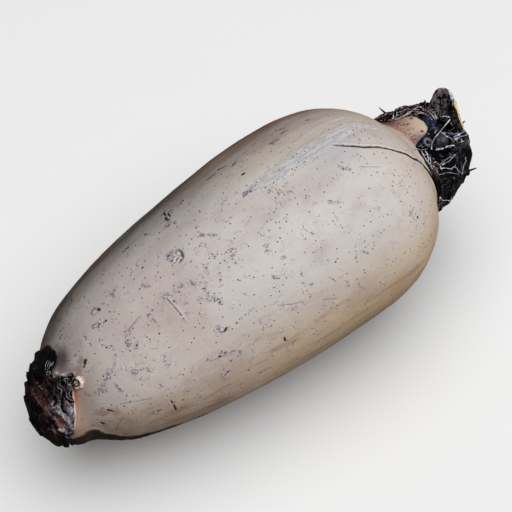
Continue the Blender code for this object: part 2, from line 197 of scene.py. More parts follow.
def tone(red, green, blue):
    # a colour as a screen shows it, from 0 to 255, for a shader
    linear = [(c / 255 / 12.92) if c <= 10 else ((c / 255 + 0.055) / 1.055) ** 2.4 for c in (red, green, blue)]
    return (*linear, 1.0)


class Socket:
    # an output of a shader node that takes part in sums
    def __init__(self, graph, made, output=0):
        self.graph, self.made, self.out = graph, made, made.outputs[output]

    def part(self, output):
        return Socket(self.graph, self.made, output)

    def math(self, operation, *values):
        return self.graph.node("ShaderNodeMath", {"operation": operation}, values)

    def __add__(self, other):
        return self.math("ADD", self, other)

    def __sub__(self, other):
        return self.math("SUBTRACT", self, other)

    def __rsub__(self, other):
        return self.math("SUBTRACT", other, self)

    def __mul__(self, other):
        return self.math("MULTIPLY", self, other)

    def __truediv__(self, other):
        return self.math("DIVIDE", self, other)

    def __abs__(self):
        return self.math("ABSOLUTE", self)

    __radd__, __rmul__ = __add__, __mul__

    def root(self):
        return self.math("SQRT", self)

    def most(self, other):
        return self.math("MAXIMUM", self, other)

    def soft(self, low, high):
        # rises smoothly from 0 at low to 1 at high
        return self.graph.node("ShaderNodeMapRange", {"interpolation_type": "SMOOTHSTEP"},
                               (self, low, high, 0.0, 1.0))

    def fall(self, low, high):
        # falls smoothly from 1 at low to 0 at high
        return 1 - self.soft(low, high)

    def around(self, centre, inner, outer):
        # 1 within inner of the centre, 0 beyond outer
        return abs(self - centre).fall(inner, outer)


class Graph:
    # a node tree whose nodes are made by expressions; tones are its named colours
    def __init__(self, tree, tones=None):
        self.tree, self.tones = tree, tones

    def node(self, kind, settings=None, inputs=()):
        made = self.tree.nodes.new(kind)
        for name, value in (settings or {}).items():
            setattr(made, name, value)
        pairs = inputs.items() if isinstance(inputs, dict) else enumerate(inputs)
        for key, value in pairs:
            if isinstance(value, Socket):
                self.tree.links.new(value.out, made.inputs[key])
            else:
                made.inputs[key].default_value = value
        return Socket(self, made)

    def mix(self, share, first, second, blend="MIX"):
        # each colour is a socket, a tone or the name of one
        first, second = (tone(*self.tones[c]) if isinstance(c, str) else c for c in (first, second))
        inputs = {0: share, 6: first, 7: second}
        return self.node("ShaderNodeMix", {"data_type": "RGBA", "blend_type": blend}, inputs).part(2)


class Finish(Graph):
    # a material with its patterns, all sizes in mm
    def __init__(self, name, tones, **constants):
        self.material = bpy.data.materials.new(name)
        self.material.use_nodes = True
        super().__init__(self.material.node_tree, tones)
        self.shader = self.tree.nodes["Principled BSDF"]
        for key, value in constants.items():
            self.shader.inputs[key.replace("_", " ")].default_value = value
        self.spot = self.node("ShaderNodeTexCoord").part("Object")

    def paint(self, share, colour, blend="MIX"):
        # lays a colour over the ones before it
        self.colour = self.mix(share, self.colour, colour, blend)

    def feed(self, **inputs):
        for key, value in {"Base_Color": self.colour, **inputs}.items():
            self.tree.links.new(value.out, self.shader.inputs[key.replace("_", " ")])
        return self.material

    def stretch(self, along=1.0, across=1.0, up=None):
        # object coordinates pulled along the segment, across it or upwards
        scale = (along, across, across if up is None else up)
        return self.node("ShaderNodeMapping", None, {"Vector": self.spot, "Scale": scale})

    def cloud(self, size, detail=2.0, vector=None, twist=0.0):
        # noise with spots of about this size, from 0 to 1
        inputs = {"Vector": vector or self.spot, "Scale": 1000.0 / size, "Detail": detail, "Distortion": twist}
        return self.node("ShaderNodeTexNoise", None, inputs)

    def squiggles(self, size, width, vector=None, twist=0.6):
        # thin wandering lines, about this far apart
        return self.cloud(size, 2.0, vector, twist).around(0.5, 0.3 * width, width)

    def cells(self, size):
        return self.node("ShaderNodeTexVoronoi", None, {"Vector": self.spot, "Scale": 1000.0 / size})

    def layer(self, name):
        # the three numbers of a mesh layer
        stored = self.node("ShaderNodeAttribute", {"attribute_name": name}).part("Vector")
        split = self.node("ShaderNodeSeparateXYZ", None, (stored,))
        return split.part(0), split.part(1), split.part(2)

    def places(self):
        # station in mm, and angle as a share of a half turn
        station, sine, cosine = self.layer("places")
        return station, sine.math("ARCTAN2", sine, cosine) / math.pi

    def bump(self, height, depth, under=None):
        # height from 0 to 1 over a depth
        inputs = {"Height": height, "Distance": 0.001 * depth, "Strength": 1.0}
        if under:
            inputs["Normal"] = under
        return self.node("ShaderNodeBump", None, inputs)


def placeLayer(piece, station, angle):
    a = np.radians(angle)
    layer(piece, "places", station, np.sin(a), np.cos(a))


def gapTo(station, angle, place, radius):
    # distance in mm over the surface to a place, for a material
    along, across = station - place[0], (angle - place[1] / 180) * (math.pi * radius)
    return (along * along + across * across).root()


# Marks on the skin: half width in mm, then the places (station, angle) that the mark runs through
skin = {
    "rings": 250,
    "sides": 260,
    "denser": 0.45,          # how much closer the vertices stand on the camera's side
    "denserAngle": 33.0,
    "pits": (
        (0.5, (-61.2, -30.8)), (0.45, (-58.3, -21.2)), (0.4, (-58.6, 5.6)), (0.4, (-62.8, 19.9)),
        (0.3, (-49.0, 32.6)), (0.45, (-52.4, 78.6)), (0.5, (-71.6, 62.5), (-70.8, 64.5)),
        (0.5, (-74.7, 75.5), (-74.2, 78.0)), (0.3, (-32.9, -24.8), (-32.4, -23.4)), (0.4, (-41.0, -5.2)),
        (0.4, (-44.3, -7.7)), (0.3, (-18.3, -26.3), (-17.3, -25.9)), (0.45, (-41.0, -26.6), (-39.0, -26.2)),
        (0.5, (0.6, -11.4), (1.4, -10.8)), (0.35, (-66.1, -33.2)), (0.45, (-67.5, -29.3)), (0.32, (-28.9, 51.4)),
        (0.5, (-17.7, 74.2), (-17.7, 76.2)), (0.3, (-35.1, 69.3)), (0.3, (-38.4, 76.5), (-37.2, 75.3)),
        (0.4, (-31.2, 82.6)), (0.4, (6.3, 52.9)), (0.35, (13.1, 57.2)), (0.4, (39.3, 58.9)),
        (0.4, (43.2, 77.4), (44.0, 76.6)), (0.45, (28.0, 98.7)), (0.6, (-69.2, 17.0), (-69.8, 18.4)),
        (0.4, (-70.5, 19.9)), (0.6, (-37.8, 63.0)), (0.35, (-56.0, 30.5)), (0.45, (-58.1, -4.2), (-57.8, -3.4)),
        (0.35, (-60.6, 4.4)), (0.4, (21.2, -27.0), (23.2, -25.6)), (0.35, (22.6, -24.8), (24.0, -23.8)),
        (0.45, (12.0, -27.6), (13.4, -26.4)), (0.5, (-1.9, -27.4), (0.6, -25.9)),
        (0.45, (-7.4, -34.0), (-4.4, -32.6)), (0.4, (-23.4, -29.8), (-24.1, -25.5)),
        (0.4, (-24.7, -24.5), (-25.0, -20.8)), (0.35, (-23.0, -26.0), (-23.6, -22.0)),
        (0.3, (-55.6, 74.5), (-55.4, 77.2)), (0.38, (-55.3, 79.5), (-55.2, 85.0)),
        (0.4, (-33.3, 51.6), (-32.2, 50.6)), (0.4, (-60.2, 79.8), (-59.2, 78.9)), (0.85, (66.5, -9.9)),
        (0.75, (69.5, -14.4)), (0.6, (67.7, 9.1)), (0.3, (62.7, 10.9)), (0.3, (62.6, -1.8)),
    ),
    "scuffs": (
        (1.1, (-53.5, -5.4), (-50.0, -6.4)), (1.1, (-44.4, 5.2), (-43.2, 7.4)), (1.0, (-36.6, 18.6)),
        (0.9, (-51.7, 50.6)), (1.2, (-23.8, 16.1), (-23.2, 17.0)), (1.0, (-27.7, 17.4), (-27.5, 21.2)),
        (1.0, (-30.7, 26.2)), (1.6, (-31.8, 31.0), (-29.8, 35.6)), (1.1, (-34.2, 29.5), (-32.0, 33.0)),
        (1.1, (-9.4, 27.6), (-10.3, 30.6)), (1.0, (-6.9, 36.8)), (0.9, (-13.0, 41.0), (-12.2, 42.8)),
        (0.9, (-6.0, 52.2)), (0.9, (-3.9, 55.1)), (1.4, (14.8, 27.6), (16.8, 29.2)),
        (0.9, (15.6, 55.4), (17.4, 58.4)), (1.0, (37.0, 54.0), (38.2, 59.2)), (1.3, (24.8, 16.2), (26.6, 20.4)),
        (1.4, (-42.0, 17.0), (-39.2, 20.0)), (1.1, (-40.2, 22.6), (-38.0, 27.4)),
        (1.1, (-48.1, 20.2), (-48.0, 29.0)), (1.4, (-55.6, 20.6), (-57.9, 28.0)),
        (1.0, (-55.4, 29.2), (-56.6, 31.4)), (0.9, (-63.2, 31.6), (-64.4, 34.0)),
        (1.5, (-65.2, 34.8), (-67.0, 37.6)), (1.9, (-67.2, 37.6), (-69.2, 41.0)),
        (1.5, (-69.4, 41.0), (-71.2, 44.8)), (1.1, (-60.8, 42.6), (-59.4, 44.4)),
        (0.9, (-57.0, 46.6), (-55.8, 47.8)), (1.3, (-60.8, 78.2), (-59.8, 80.2)),
        (1.5, (-34.6, 48.2), (-32.6, 51.0)), (1.3, (-36.4, 61.6), (-34.2, 63.4)),
        (1.3, (-33.0, 64.2), (-31.6, 67.8)), (1.0, (-35.1, 69.3)), (1.2, (-38.6, 77.0), (-37.0, 75.0)),
        (1.1, (-22.5, 2.5), (-18.9, 8.0)), (1.0, (-62.2, 27.8), (-63.0, 31.6)), (1.3, (-61.8, 2.6), (-60.8, 4.6)),
        (1.4, (-59.4, -5.2), (-58.0, -4.0)), (0.9, (11.2, 72.6), (13.1, 75.8)), (0.9, (-66.4, 45.8), (-66.1, 51.0)),
        (1.5, (-26.4, -16.6), (-24.4, -15.0)), (1.4, (-17.0, -24.6), (-24.0, -24.2)),
        (1.1, (7.0, 13.0), (4.0, 10.6)), (1.5, (-24.0, -27.0), (-25.5, -16.5)), (1.0, (-35.8, 18.0), (-30.0, 25.0)),
        (0.9, (-26.0, 28.0), (-28.6, 33.0)), (0.9, (43.0, 60.0), (41.0, 66.0)), (1.2, (-3.6, -0.2), (-1.2, 0.6)),
        (0.8, (3.0, 6.4), (1.8, 7.4)),
    ),
    "blisters": (
        (0.8, (-59.4, -5.0), (-58.6, -4.4)), (0.65, (-61.8, 2.8), (-61.2, 3.4)),
        (0.7, (-60.5, 43.6), (-60.2, 44.4)), (0.8, (-60.7, 79.0)), (0.65, (-34.0, 49.4), (-33.4, 50.2)),
        (0.7, (-3.6, -0.2)), (0.5, (-12.6, 41.9), (-11.6, 42.9)), (0.4, (-41.8, 17.4), (-41.4, 18.6)),
        (0.4, (-9.2, 30.4)), (0.35, (2.0, 7.2)), (0.4, (-7.6, 36.4)), (0.4, (-66.3, 46.2), (-66.1, 50.7)),
        (0.3, (-56.2, 75.2), (-56.2, 78.6)), (0.3, (-70.6, 16.0), (-70.9, 18.6)),
    ),
    "lines": (
        (0.3, (-50.4, 17.6), (-52.2, 18.3), (-54.8, 19.5)), (0.22, (-15.9, 55.0), (-11.8, 58.6), (-7.9, 61.2)),
        (0.25, (-2.5, 66.0), (2.4, 70.5)), (0.3, (2.2, 57.0), (3.7, 61.6)), (0.2, (30.3, 21.3), (36.1, 26.3)),
        (0.3, (-22.4, 61.0), (-23.3, 65.3)), (0.25, (-22.6, 55.8), (-22.8, 59.0)),
        (0.25, (-59.2, 44.8), (-58.0, 45.4), (-57.6, 43.8)), (0.28, (36.0, 55.4), (39.6, 53.0)),
        (0.28, (37.0, 58.4), (40.2, 55.4)), (0.22, (-35.8, 64.4), (-41.0, 62.0)),
        (0.25, (-9.0, 60.4), (-8.0, 63.4)), (0.2, (-68.0, 60.4), (-60.0, 66.0)),
        (0.2, (-75.0, 72.4), (-72.0, 76.0)),
    ),
    "stains": (
        (2.2, (-56.0, 86.0), (-51.4, 86.4)), (1.6, (-72.0, 19.6), (-73.4, 23.6)),
        (1.4, (-70.0, 14.6), (-71.6, 17.0)), (2.0, (-74.0, 62.0), (-70.0, 66.0)),
        (2.0, (-58.0, 98.0), (-40.0, 100.0)), (1.0, (-72.7, -10.4)),
    ),
    "brownRings": (       # faint brown rings: radius, place
        (1.5, (-37.1, 18.4)), (1.4, (-8.6, 44.8)), (1.5, (26.0, 44.2)), (1.3, (-12.4, 71.4)), (1.2, (13.4, 58.0)),
        (1.6, (-34.6, 49.4)), (1.2, (-4.4, 76.6)), (1.2, (27.6, 65.0)), (1.3, (-51.8, 36.0)), (1.2, (-22.0, 78.0)),
    ),
    "crack": (
        (27.9, 3.5), (31.6, 7.8), (36.7, 13.5), (40.7, 16.5), (44.9, 21.0), (49.1, 26.2), (51.3, 31.1),
        (56.9, 36.8), (58.4, 45.5), (59.6, 57.0), (60.1, 70.9),
    ),
    "crackFold": ((28.4, 3.4), (31.8, 6.6)),
    "rod": ((-41.6, 19.1), (-41.1, 31.6)),
    "band": (       # station, angle and half width along the grey bands
        (-3.0, -0.2, 0.6), (-1.2, 0.1, 1.4), (2.0, 1.0, 2.7), (7.0, 1.2, 3.0), (12.0, 0.9, 3.2), (17.2, 0.5, 3.4),
        (25.0, 0.4, 3.5), (32.8, -0.2, 3.3), (38.0, -1.4, 3.0), (43.0, -1.6, 2.1), (47.1, 1.8, 1.6),
    ),
    "faintBand": ((43.9, -11.1, 1.8), (36.1, -11.3, 2.4), (28.5, -10.6, 2.4), (20.7, -8.8, 1.4)),
    "violetBand": (
        (38.5, -18.0, 1.2), (29.8, -19.0, 2.2), (24.7, -20.4, 2.6), (16.3, -20.8, 2.7), (6.8, -22.0, 2.6),
        (1.0, -23.0, 2.4), (-7.7, -26.0, 2.0), (-15.9, -28.0, 1.5), (-26.0, -30.0, 0.9),
    ),
    "warty": (-32.0, 2.8, 2.6),      # station, angle and radius of the round scar
    # the underside's painted shadow, partly dark mud, begins at these places
    "shadedUnderside": (       # where the skin turns dark
        (-86.0, 88.0), (-83.0, 86.0), (-79.0, 83.0), (-76.2, 84.0), (-74.0, 94.0), (-71.0, 101.0), (-66.0, 103.0),
        (-60.0, 107.0), (-47.0, 111.0), (-30.0, 114.0), (20.0, 115.0), (45.0, 119.0), (70.0, 127.0),
    ),
    "split": {                # how near a mark faces are split once, and twice
        "crack": (2.0, 0.8), "rod": (1.6, 0.7), "warty": (1.2, 0.2), "pits": (-1.0, -0.4),
    },
    "relief": {               # heights and depths in mm
        "broad": 0.10, "narrow": 0.05, "blister": 0.15, "pit": 0.36, "scuff": 0.07, "line": 0.07, "crack": 0.75,
        "crackLip": 0.20, "fold": 0.30, "rod": 0.22, "rodLip": 0.14, "warty": 0.26, "crescent": 0.30, "seam": 0.30,
    },
    "tones": {               # colours as a screen shows them
        "cream": (205, 199, 194), "flank": (201, 169, 131), "shoulder": (184, 154, 130),
        "narrowEnd": (205, 191, 184), "lowNarrow": (168, 136, 108), "warm": (208, 188, 166),
        "bright": (222, 215, 209), "rimLightNarrow": (128, 105, 84), "rimLightWide": (182, 134, 92),
        "rimDarkNarrow": (84, 64, 50), "rimDarkWide": (138, 95, 60), "back": (172, 138, 104),
        "stringDark": (134, 100, 70), "stringLight": (214, 196, 166), "blotch": (226, 213, 214),
        "patch": (228, 220, 220), "hair": (214, 212, 214), "smudge": (150, 136, 140), "tick": (110, 90, 92),
        "glint": (216, 214, 222), "veil": (196, 194, 204), "bandDark": (178, 175, 180),
        "bandLight": (217, 215, 219), "bandEdge": (134, 120, 122), "violet": (178, 156, 148), "dash": (84, 66, 58),
        "scuffDark": (112, 95, 100), "scuffLight": (192, 187, 197), "brownRing": (138, 110, 98),
        "scratch": (120, 106, 110), "stain": (140, 102, 70), "blisterEdge": (98, 88, 94),
        "blisterDark": (112, 108, 128), "blisterLight": (212, 214, 230), "scarDark": (158, 152, 160),
        "scarLight": (214, 212, 214), "scarSlit": (50, 42, 44), "crescent": (72, 62, 64),
        "poreHalo": (226, 220, 214), "pore": (88, 56, 46), "neck": (208, 186, 168), "neckFoot": (178, 140, 128),
        "farFoot": (104, 60, 52), "freckle": (112, 46, 42), "neckShade": (118, 84, 74), "bruise": (92, 84, 90),
        "pitRim": (138, 116, 112), "pit": (48, 33, 31), "neckPit": (92, 26, 26), "crackLip": (216, 210, 204),
        "crack": (66, 32, 22), "rodLip": (206, 201, 206), "rod": (98, 80, 88), "soot": (70, 65, 66),
        "amber": (176, 138, 66), "notch": (160, 136, 138), "notchRim": (230, 220, 222), "glow": (156, 120, 92),
        "orange": (192, 80, 26), "orangePale": (176, 120, 80), "whiteLip": (232, 224, 216),
        "collar": (190, 142, 118), "underBlack": (11, 8, 6), "underBrown": (70, 50, 36), "underLight": (40, 27, 20),
    },
}


def strokeDistance(station, angle, reach, steep, points):
    # distance in mm over the skin to a line of places, the side of it, and how far along it
    best = np.full(station.shape, 1e9)
    side, along = np.zeros(station.shape), np.zeros(station.shape)
    spots = [((s - station) * steep, wrap(a - angle) * reach) for s, a in points]
    if len(spots) == 1:
        return np.hypot(*spots[0]), side, along
    for i, ((ax, ay), (bx, by)) in enumerate(zip(spots, spots[1:])):
        dx, dy = bx - ax, by - ay
        t = np.clip(-(ax * dx + ay * dy) / np.maximum(dx * dx + dy * dy, 1e-9), 0, 1)
        gap = np.hypot(ax + t * dx, ay + t * dy)
        closer = gap < best
        best = np.where(closer, gap, best)
        side = np.where(closer, np.sign(dx * ay - dy * ax), side)
        along = np.where(closer, (i + t) / (len(spots) - 1), along)
    return best, side, along


def skinSpots(station, angle):
    # adds mm over the skin for a degree round it, and for a mm along the axis
    slope = (bodyRadius(station + 0.4) - bodyRadius(station - 0.4)) / 0.8
    return station, angle, bodyRadius(station) * math.pi / 180, np.sqrt(1 + slope * slope)


def denser(angle):
    # moves the vertices round the tube towards the camera's side
    return wrap(angle - skin["denser"] * 180 / math.pi * np.sin(np.radians(angle - skin["denserAngle"])))


def bandField(station, angle, reach, steep, points):
    # 1 along the middle of a band of changing half width, 0 at its edges, down to -1 outside
    widths = [w for _, _, w in points]
    gap, _, along = strokeDistance(station, angle, reach, steep, [(s, a) for s, a, _ in points])
    width = np.interp(along * (len(points) - 1), range(len(points)), widths)
    return np.maximum(1 - gap / width, -1.0)


def markField(station, angle, reach, steep, marks, warp):
    # the same for a list of marks, with uneven edges
    field = np.full(station.shape, -1.0)
    for width, *points in marks:
        stations = [p[0] for p in points]
        margin = 3 * width + 1
        near = np.nonzero((station > min(stations) - margin) & (station < max(stations) + margin))[0]
        gap, _, _ = strokeDistance(station[near], angle[near], reach[near], steep[near], points)
        field[near] = np.maximum(field[near], 1 - (gap + 0.35 * width * warp[near]) / width)
    return field


def refineSkin(bm, fine):
    # splits the faces that lie on marks, the sharpest of them once more
    faces = list(bm.faces)
    centres = np.array([f.calc_center_median() for f in faces])
    angle = denser(np.degrees(np.arctan2(-centres[:, 1], centres[:, 2])))
    spots = skinSpots(centres[:, 0], angle)
    station, still = spots[0], np.zeros(len(faces))
    near = {name: reaches[fine] for name, reaches in skin["split"].items()}
    s, a, r = skin["warty"]
    chosen = strokeDistance(*spots, skin["crack"])[0] < near["crack"]
    chosen |= strokeDistance(*spots, skin["rod"])[0] < near["rod"]
    chosen |= strokeDistance(*spots, [(s, a)])[0] < r + near["warty"]
    chosen |= markField(*spots, skin["pits"], still) > near["pits"]
    if not fine:
        chosen |= markField(*spots, skin["blisters"] + skin["lines"], still) > -0.8
        chosen |= markField(*spots, skin["scuffs"], still) > -0.1
        chosen |= bandField(*spots, skin["band"]) > -0.2
        chosen |= (station > 57) & (station < 64) & (np.abs(wrap(angle - 10)) < 60)     # the neck's foot
    edges = {e for f, wanted in zip(faces, chosen) if wanted for e in f.edges}
    bmesh.ops.subdivide_edges(bm, edges=list(edges), cuts=1, use_grid_fill=True)


def rootRadius(station, angle):
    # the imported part's own skin
    height, span = segment["swelling"]
    plain = bodyRadius(station)
    clear = np.clip(station, segment["foot"][0][0], segment["neckEnd"])
    return plain + height * ripple(clear, angle, span) * np.minimum(1.0, plain / 30.0)


def lotusSkin():
    first, last = segment["foot"][0][0], segment["neckEnd"]
    bm = tube([segment["footEnd"], *np.linspace(first, last, skin["rings"]), last + 0.4], skin["sides"])
    refineSkin(bm, False)
    refineSkin(bm, True)
    station, angle, poles = tubeSpots(bm)
    spots = skinSpots(station, denser(angle))
    _, angle, reach, _ = spots
    plain = places(station, angle, bodyRadius(station))
    warp = grain(plain, 1.1) + 0.6 * grain(plain, 0.5, 3.0)
    pits, scuffs, blisters, lines, stains = (
        markField(*spots, skin[name], warp) for name in ("pits", "scuffs", "blisters", "lines", "stains"))
    arcs = np.full(station.shape, -1.0)
    for radius, place in skin["brownRings"]:
        gap = strokeDistance(*spots, [place])[0]
        arcs = np.maximum(arcs, 1 - np.abs(gap - radius + 0.3 * warp) / 0.45)
    gap, side, along = strokeDistance(*spots, skin["crack"])
    crack = np.clip(gap * side, -4, 4)
    gape = smoothStep((along + 0.06) / 0.2) \
        * (0.75 + 0.2 * np.sin(9 * along) + 0.8 * smoothStep((along - 0.3) / 0.3))
    rodGap = strokeDistance(*spots, skin["rod"])[0]
    band = np.maximum(bandField(*spots, skin["band"]), bandField(*spots, skin["faintBand"]) - 0.5)
    violet = bandField(*spots, skin["violetBand"])
    s, a, r = skin["warty"]
    scarGap = strokeDistance(*spots, [(s, a)])[0]
    warty = 1 - (scarGap + 0.25 * warp) / r
    towards = np.arctan2(wrap(angle - a) * reach, station - s) - 0.45
    crescent = bell((scarGap - 0.92 * r) / 0.42) * np.clip(1.3 * np.cos(towards), 0, 1)
    seam = station - capEdge(wrap(angle))
    border = np.interp(station, *zip(*skin["shadedUnderside"])) \
        + 4 * grain(plain, 5.0, 14.0) + 2 * grain(plain, 1.6, 15.0)
    under = smoothStep((angle - border) / 3.2) * smoothStep((150 - angle) / 20)

    deep = skin["relief"]
    rough = grain(plain, 0.8, 11.0)
    height = deep["broad"] * grain(plain, 9.0, 5.0) + deep["narrow"] * grain(plain, 3.2, 8.0) + 0.012 * rough
    height += deep["blister"] * smoothStep(blisters * 1.3) - deep["pit"] * smoothStep(pits * 1.3)
    height += smoothStep(scuffs * 1.5 + 0.2) * (0.02 + deep["scuff"] * rough)
    height -= deep["line"] * smoothStep(lines * 1.4)
    height += smoothStep(band * 3) * (0.06 + 0.03 * rough) + smoothStep(violet * 2) * 0.06 * rough
    height += deep["crackLip"] * bell((crack - 0.9) / 0.6) * gape - deep["crack"] * bell(gap / 0.34) * gape
    height += 0.10 * bell((crack + 0.9) / 0.7) * gape \
        + deep["fold"] * bell(strokeDistance(*spots, skin["crackFold"])[0] / 0.5)
    height += deep["rodLip"] * bell(rodGap / 0.6) - deep["rod"] * bell(rodGap / 0.2)
    height += smoothStep(warty * 2.2) * (deep["warty"] + 0.16 * rough) - deep["crescent"] * crescent
    edge = smoothStep((seam + 0.6) / 0.9) * bell((seam - 0.4) / 0.7)
    height += deep["seam"] * edge * between(angle, 22, 10, 80, 20)
    height += under * smoothStep(-(station + 60) / 10) * (0.25 + 0.5 * np.abs(grain(plain, 2.2, 17.0)))
    points = places(station, angle, np.where(poles, 0.0, rootRadius(station, angle) + height))
    points = points @ np.array(resting.to_3x3()).T + np.array(resting.translation)
    points[:, 2] = np.maximum(points[:, 2], 0.0)        # the flat spot that it rests on
    for v, p in zip(bm.verts, points):
        v.co = p
    piece = addPiece(bm, "lotusSkin", skinFinish(), "rhizome")
    layer(piece, "wear", scuffs, pits, blisters)
    layer(piece, "traces", arcs, lines, stains)
    layer(piece, "crackLine", crack, gape, rodGap)
    layer(piece, "bands", band, violet, np.clip(seam, -2, 12))
    layer(piece, "scar", warty, crescent, under)
    placeLayer(piece, station, angle)


def skinFinish():
    f = Finish("paleRootSkin", skin["tones"], Specular_IOR_Level=0.26)
    station, angle = f.places()
    patch = f.cloud(7, 3.0)
    fine = f.cloud(1.2, 3.0, twist=0.6)
    dust = f.cloud(0.45, 2.0)
    streak = f.cloud(5.0, 4.0, f.stretch(0.12))
    hairs = f.cloud(1.2, 2.0, f.stretch(0.07))
    uneven, ragged, grainy = patch - 0.5, fine - 0.5, streak - 0.5

    # pale cream on the top and camera side, tan then brown down the flank and low on the narrow end: a real tan with
    # painted shade
    flank = (angle + 0.06 * grainy).soft(0.26, 0.56)
    f.colour = f.mix(flank, "cream", "flank")
    f.paint((station + 10 * uneven).soft(30, 60) * 0.5, "shoulder")
    f.paint((-1 * station + 20 * uneven).soft(5, 50) * 0.6, "narrowEnd")
    f.paint((-1 * station).soft(20, 60) * (angle + 0.05 * uneven).soft(0.34, 0.46) * 0.55, "lowNarrow")
    f.paint(angle.around(-0.055, 0.02, 0.08) * station.soft(-20, 5) * 0.5, "warm")
    # painted highlight: a pale band along the top
    bright = (angle + 0.04 * uneven).around(0.02, 0.02, 0.11) * station.soft(-60, -35) * station.fall(5, 25)
    f.paint(bright * 0.85, "bright")
    # painted shade at the upper rim, grey-brown with brown streaks
    rim = (-1 * angle + 0.05 * grainy).soft(0.08, 0.27)
    wideEnd = station.soft(-30, 20)
    rimLight, rimDark = (f.mix(wideEnd, name + "Narrow", name + "Wide") for name in ("rimLight", "rimDark"))
    f.paint(rim * (-1 * angle).fall(0.36, 0.55), f.mix(streak.soft(0.38, 0.62), rimLight, rimDark))
    f.paint(abs(angle).soft(0.50, 0.80), "back")
    brown = flank.most(rim)
    strings = f.cloud(2.4, 4.0, f.stretch(0.06))
    f.paint((strings + 0.3 * grainy).soft(0.54, 0.66) * brown * 0.5, "stringDark")
    f.paint(strings.fall(0.34, 0.44) * brown * 0.35, "stringLight")

    # soft pinkish-grey blotches, pale hair lines and small smudges
    f.paint(f.cloud(15, 3.0, f.stretch(0.5)).soft(0.46, 0.66) * 0.45, "blotch", "MULTIPLY")
    f.paint(patch.soft(0.52, 0.75) * 0.35, "patch", "MULTIPLY")
    f.paint(hairs.soft(0.58, 0.70) * 0.20, "hair")
    worn = 1 - 0.6 * station.soft(0, 45)
    f.paint((f.cloud(1.8, 3.0, twist=1.2) + 0.10 * patch).soft(0.66, 0.77) * worn * 0.55, "smudge")
    zones = f.cloud(3.4, 2.0, f.stretch(1.3, 0.9)).soft(0.585, 0.64)
    ticks = f.squiggles(2.6, 0.022) * zones * worn
    f.paint(ticks * 0.8, "tick")
    f.paint(f.squiggles(2.6, 0.05, f.stretch(1.02, 0.98)) * zones * worn * (1 - ticks) * 0.35, "glint")

    # the long grey band, the violet band at the rim, scuffs, brown rings, scratches and stains
    band, violet, seam = f.layer("bands")
    bandEdge = band + ragged * 0.9
    bandMask = bandEdge.soft(0.0, 0.4)
    f.paint((gapTo(station, angle, (29.0, 9.0), 37.0) + 8 * uneven).fall(3.0, 9.0) * 0.4, "veil")
    bandGrain = f.cloud(0.8, 4.0, f.stretch(0.16)) * 0.6 + f.cloud(0.55, 3.0, twist=1.0) * 0.4
    f.paint(bandMask * 0.8, f.mix(bandGrain.soft(0.38, 0.62), "bandDark", "bandLight"))
    f.paint(bandEdge.around(0.04, 0.02, 0.10) * fine.soft(0.45, 0.6) * 0.35, "bandEdge")
    violetMask = (violet + ragged * 1.4 + 1.6 * grainy).soft(0.0, 0.8)
    f.paint(violetMask * 0.30, "violet")
    f.paint(f.cloud(1.7, 2.0, f.stretch(0.3)).soft(0.60, 0.66) * violetMask * 0.75, "dash")
    scuffs, pits, blisters = f.layer("wear")
    scuffMask = (scuffs * 0.6 + ragged * 2.2).soft(0.15, 0.6) * scuffs.soft(-0.4, 0.2)
    f.paint(scuffMask * 0.85, f.mix(f.cloud(0.7, 2.0, twist=1.0).soft(0.42, 0.58), "scuffDark", "scuffLight"))
    arcs, lines, stains = f.layer("traces")
    f.paint((arcs + ragged * 3).soft(0.3, 0.9) * 0.35, "brownRing")
    f.paint((lines + ragged).soft(0.1, 0.7) * 0.65, "scratch")
    f.paint((stains + ragged * 1.6).soft(-0.1, 0.9) * 0.5, "stain")
    # the blisters: painted shade round their edges, then mottled painted highlight and shade
    f.paint((blisters + ragged * 0.6).around(0.0, 0.05, 0.4) * 0.45, "blisterEdge")
    blister = f.mix(f.cloud(0.6, 2.0, twist=1.0).soft(0.42, 0.56), "blisterDark", "blisterLight")
    f.paint((blisters + ragged * 1.4).soft(0.25, 0.6) * 0.9, blister)
    warty, crescent, under = f.layer("scar")
    scarColour = f.mix(f.cloud(0.8, 2.0).soft(0.40, 0.58), "scarDark", "scarLight")
    f.paint((warty + ragged * 0.9).soft(0.0, 0.35) * 0.9, scarColour)
    slits = (f.cloud(0.75, 1.0, f.stretch(0.9, 1.5)) + 0.10 * crescent).soft(0.60, 0.66)
    f.paint(slits * warty.soft(-0.1, 0.1) * 0.95, "scarSlit")
    # painted shade in a crescent on one side of the round scar, over a shallow groove
    f.paint((crescent + ragged * 3).soft(0.5, 0.9) * 0.85, "crescent")

    # small brown pores all over
    pore = f.cells(1.55)
    away = pore.part("Distance")
    kept = f.node("ShaderNodeSeparateColor", None, (pore.part("Color"),)).soft(0.25, 0.55)
    poreMask = (away + 0.06 * ragged).fall(0.11, 0.20) * kept
    f.paint(away.fall(0.20, 0.36) * kept * 0.12, "poreHalo")
    f.paint(poreMask * 0.9, "pore")

    # the neck under the dried sleeve: a red-brown freckled foot, pale further out, grey round the ring scar
    neck = station.soft(59.8, 61.4)
    foot = (station + 1.2 * (angle + 0.02).soft(-0.2, 0.2) + 3.0 * uneven).fall(61.0, 70.5)
    neckColour = f.mix(foot, "neck", "neckFoot")
    farFoot = foot * (angle + 0.04 * uneven).fall(-0.17, -0.06)
    freckles = f.cloud(0.95, 2.0, twist=0.5).soft(0.53, 0.62) * foot.soft(0.1, 0.6)
    shade = (angle + 0.03 * ragged).fall(-0.13, -0.05) * angle.soft(-0.3, -0.2)
    bruise = (gapTo(station, angle, (64.6, 22.5), 18.0) + ragged * 4).fall(2.0, 5.6)
    for share, name in ((farFoot * 0.85, "farFoot"), (freckles * 0.85, "freckle"), (shade * 0.4, "neckShade"),
                        (bruise * 0.8, "bruise")):
        neckColour = f.mix(share, neckColour, name)
    f.paint(neck, neckColour)

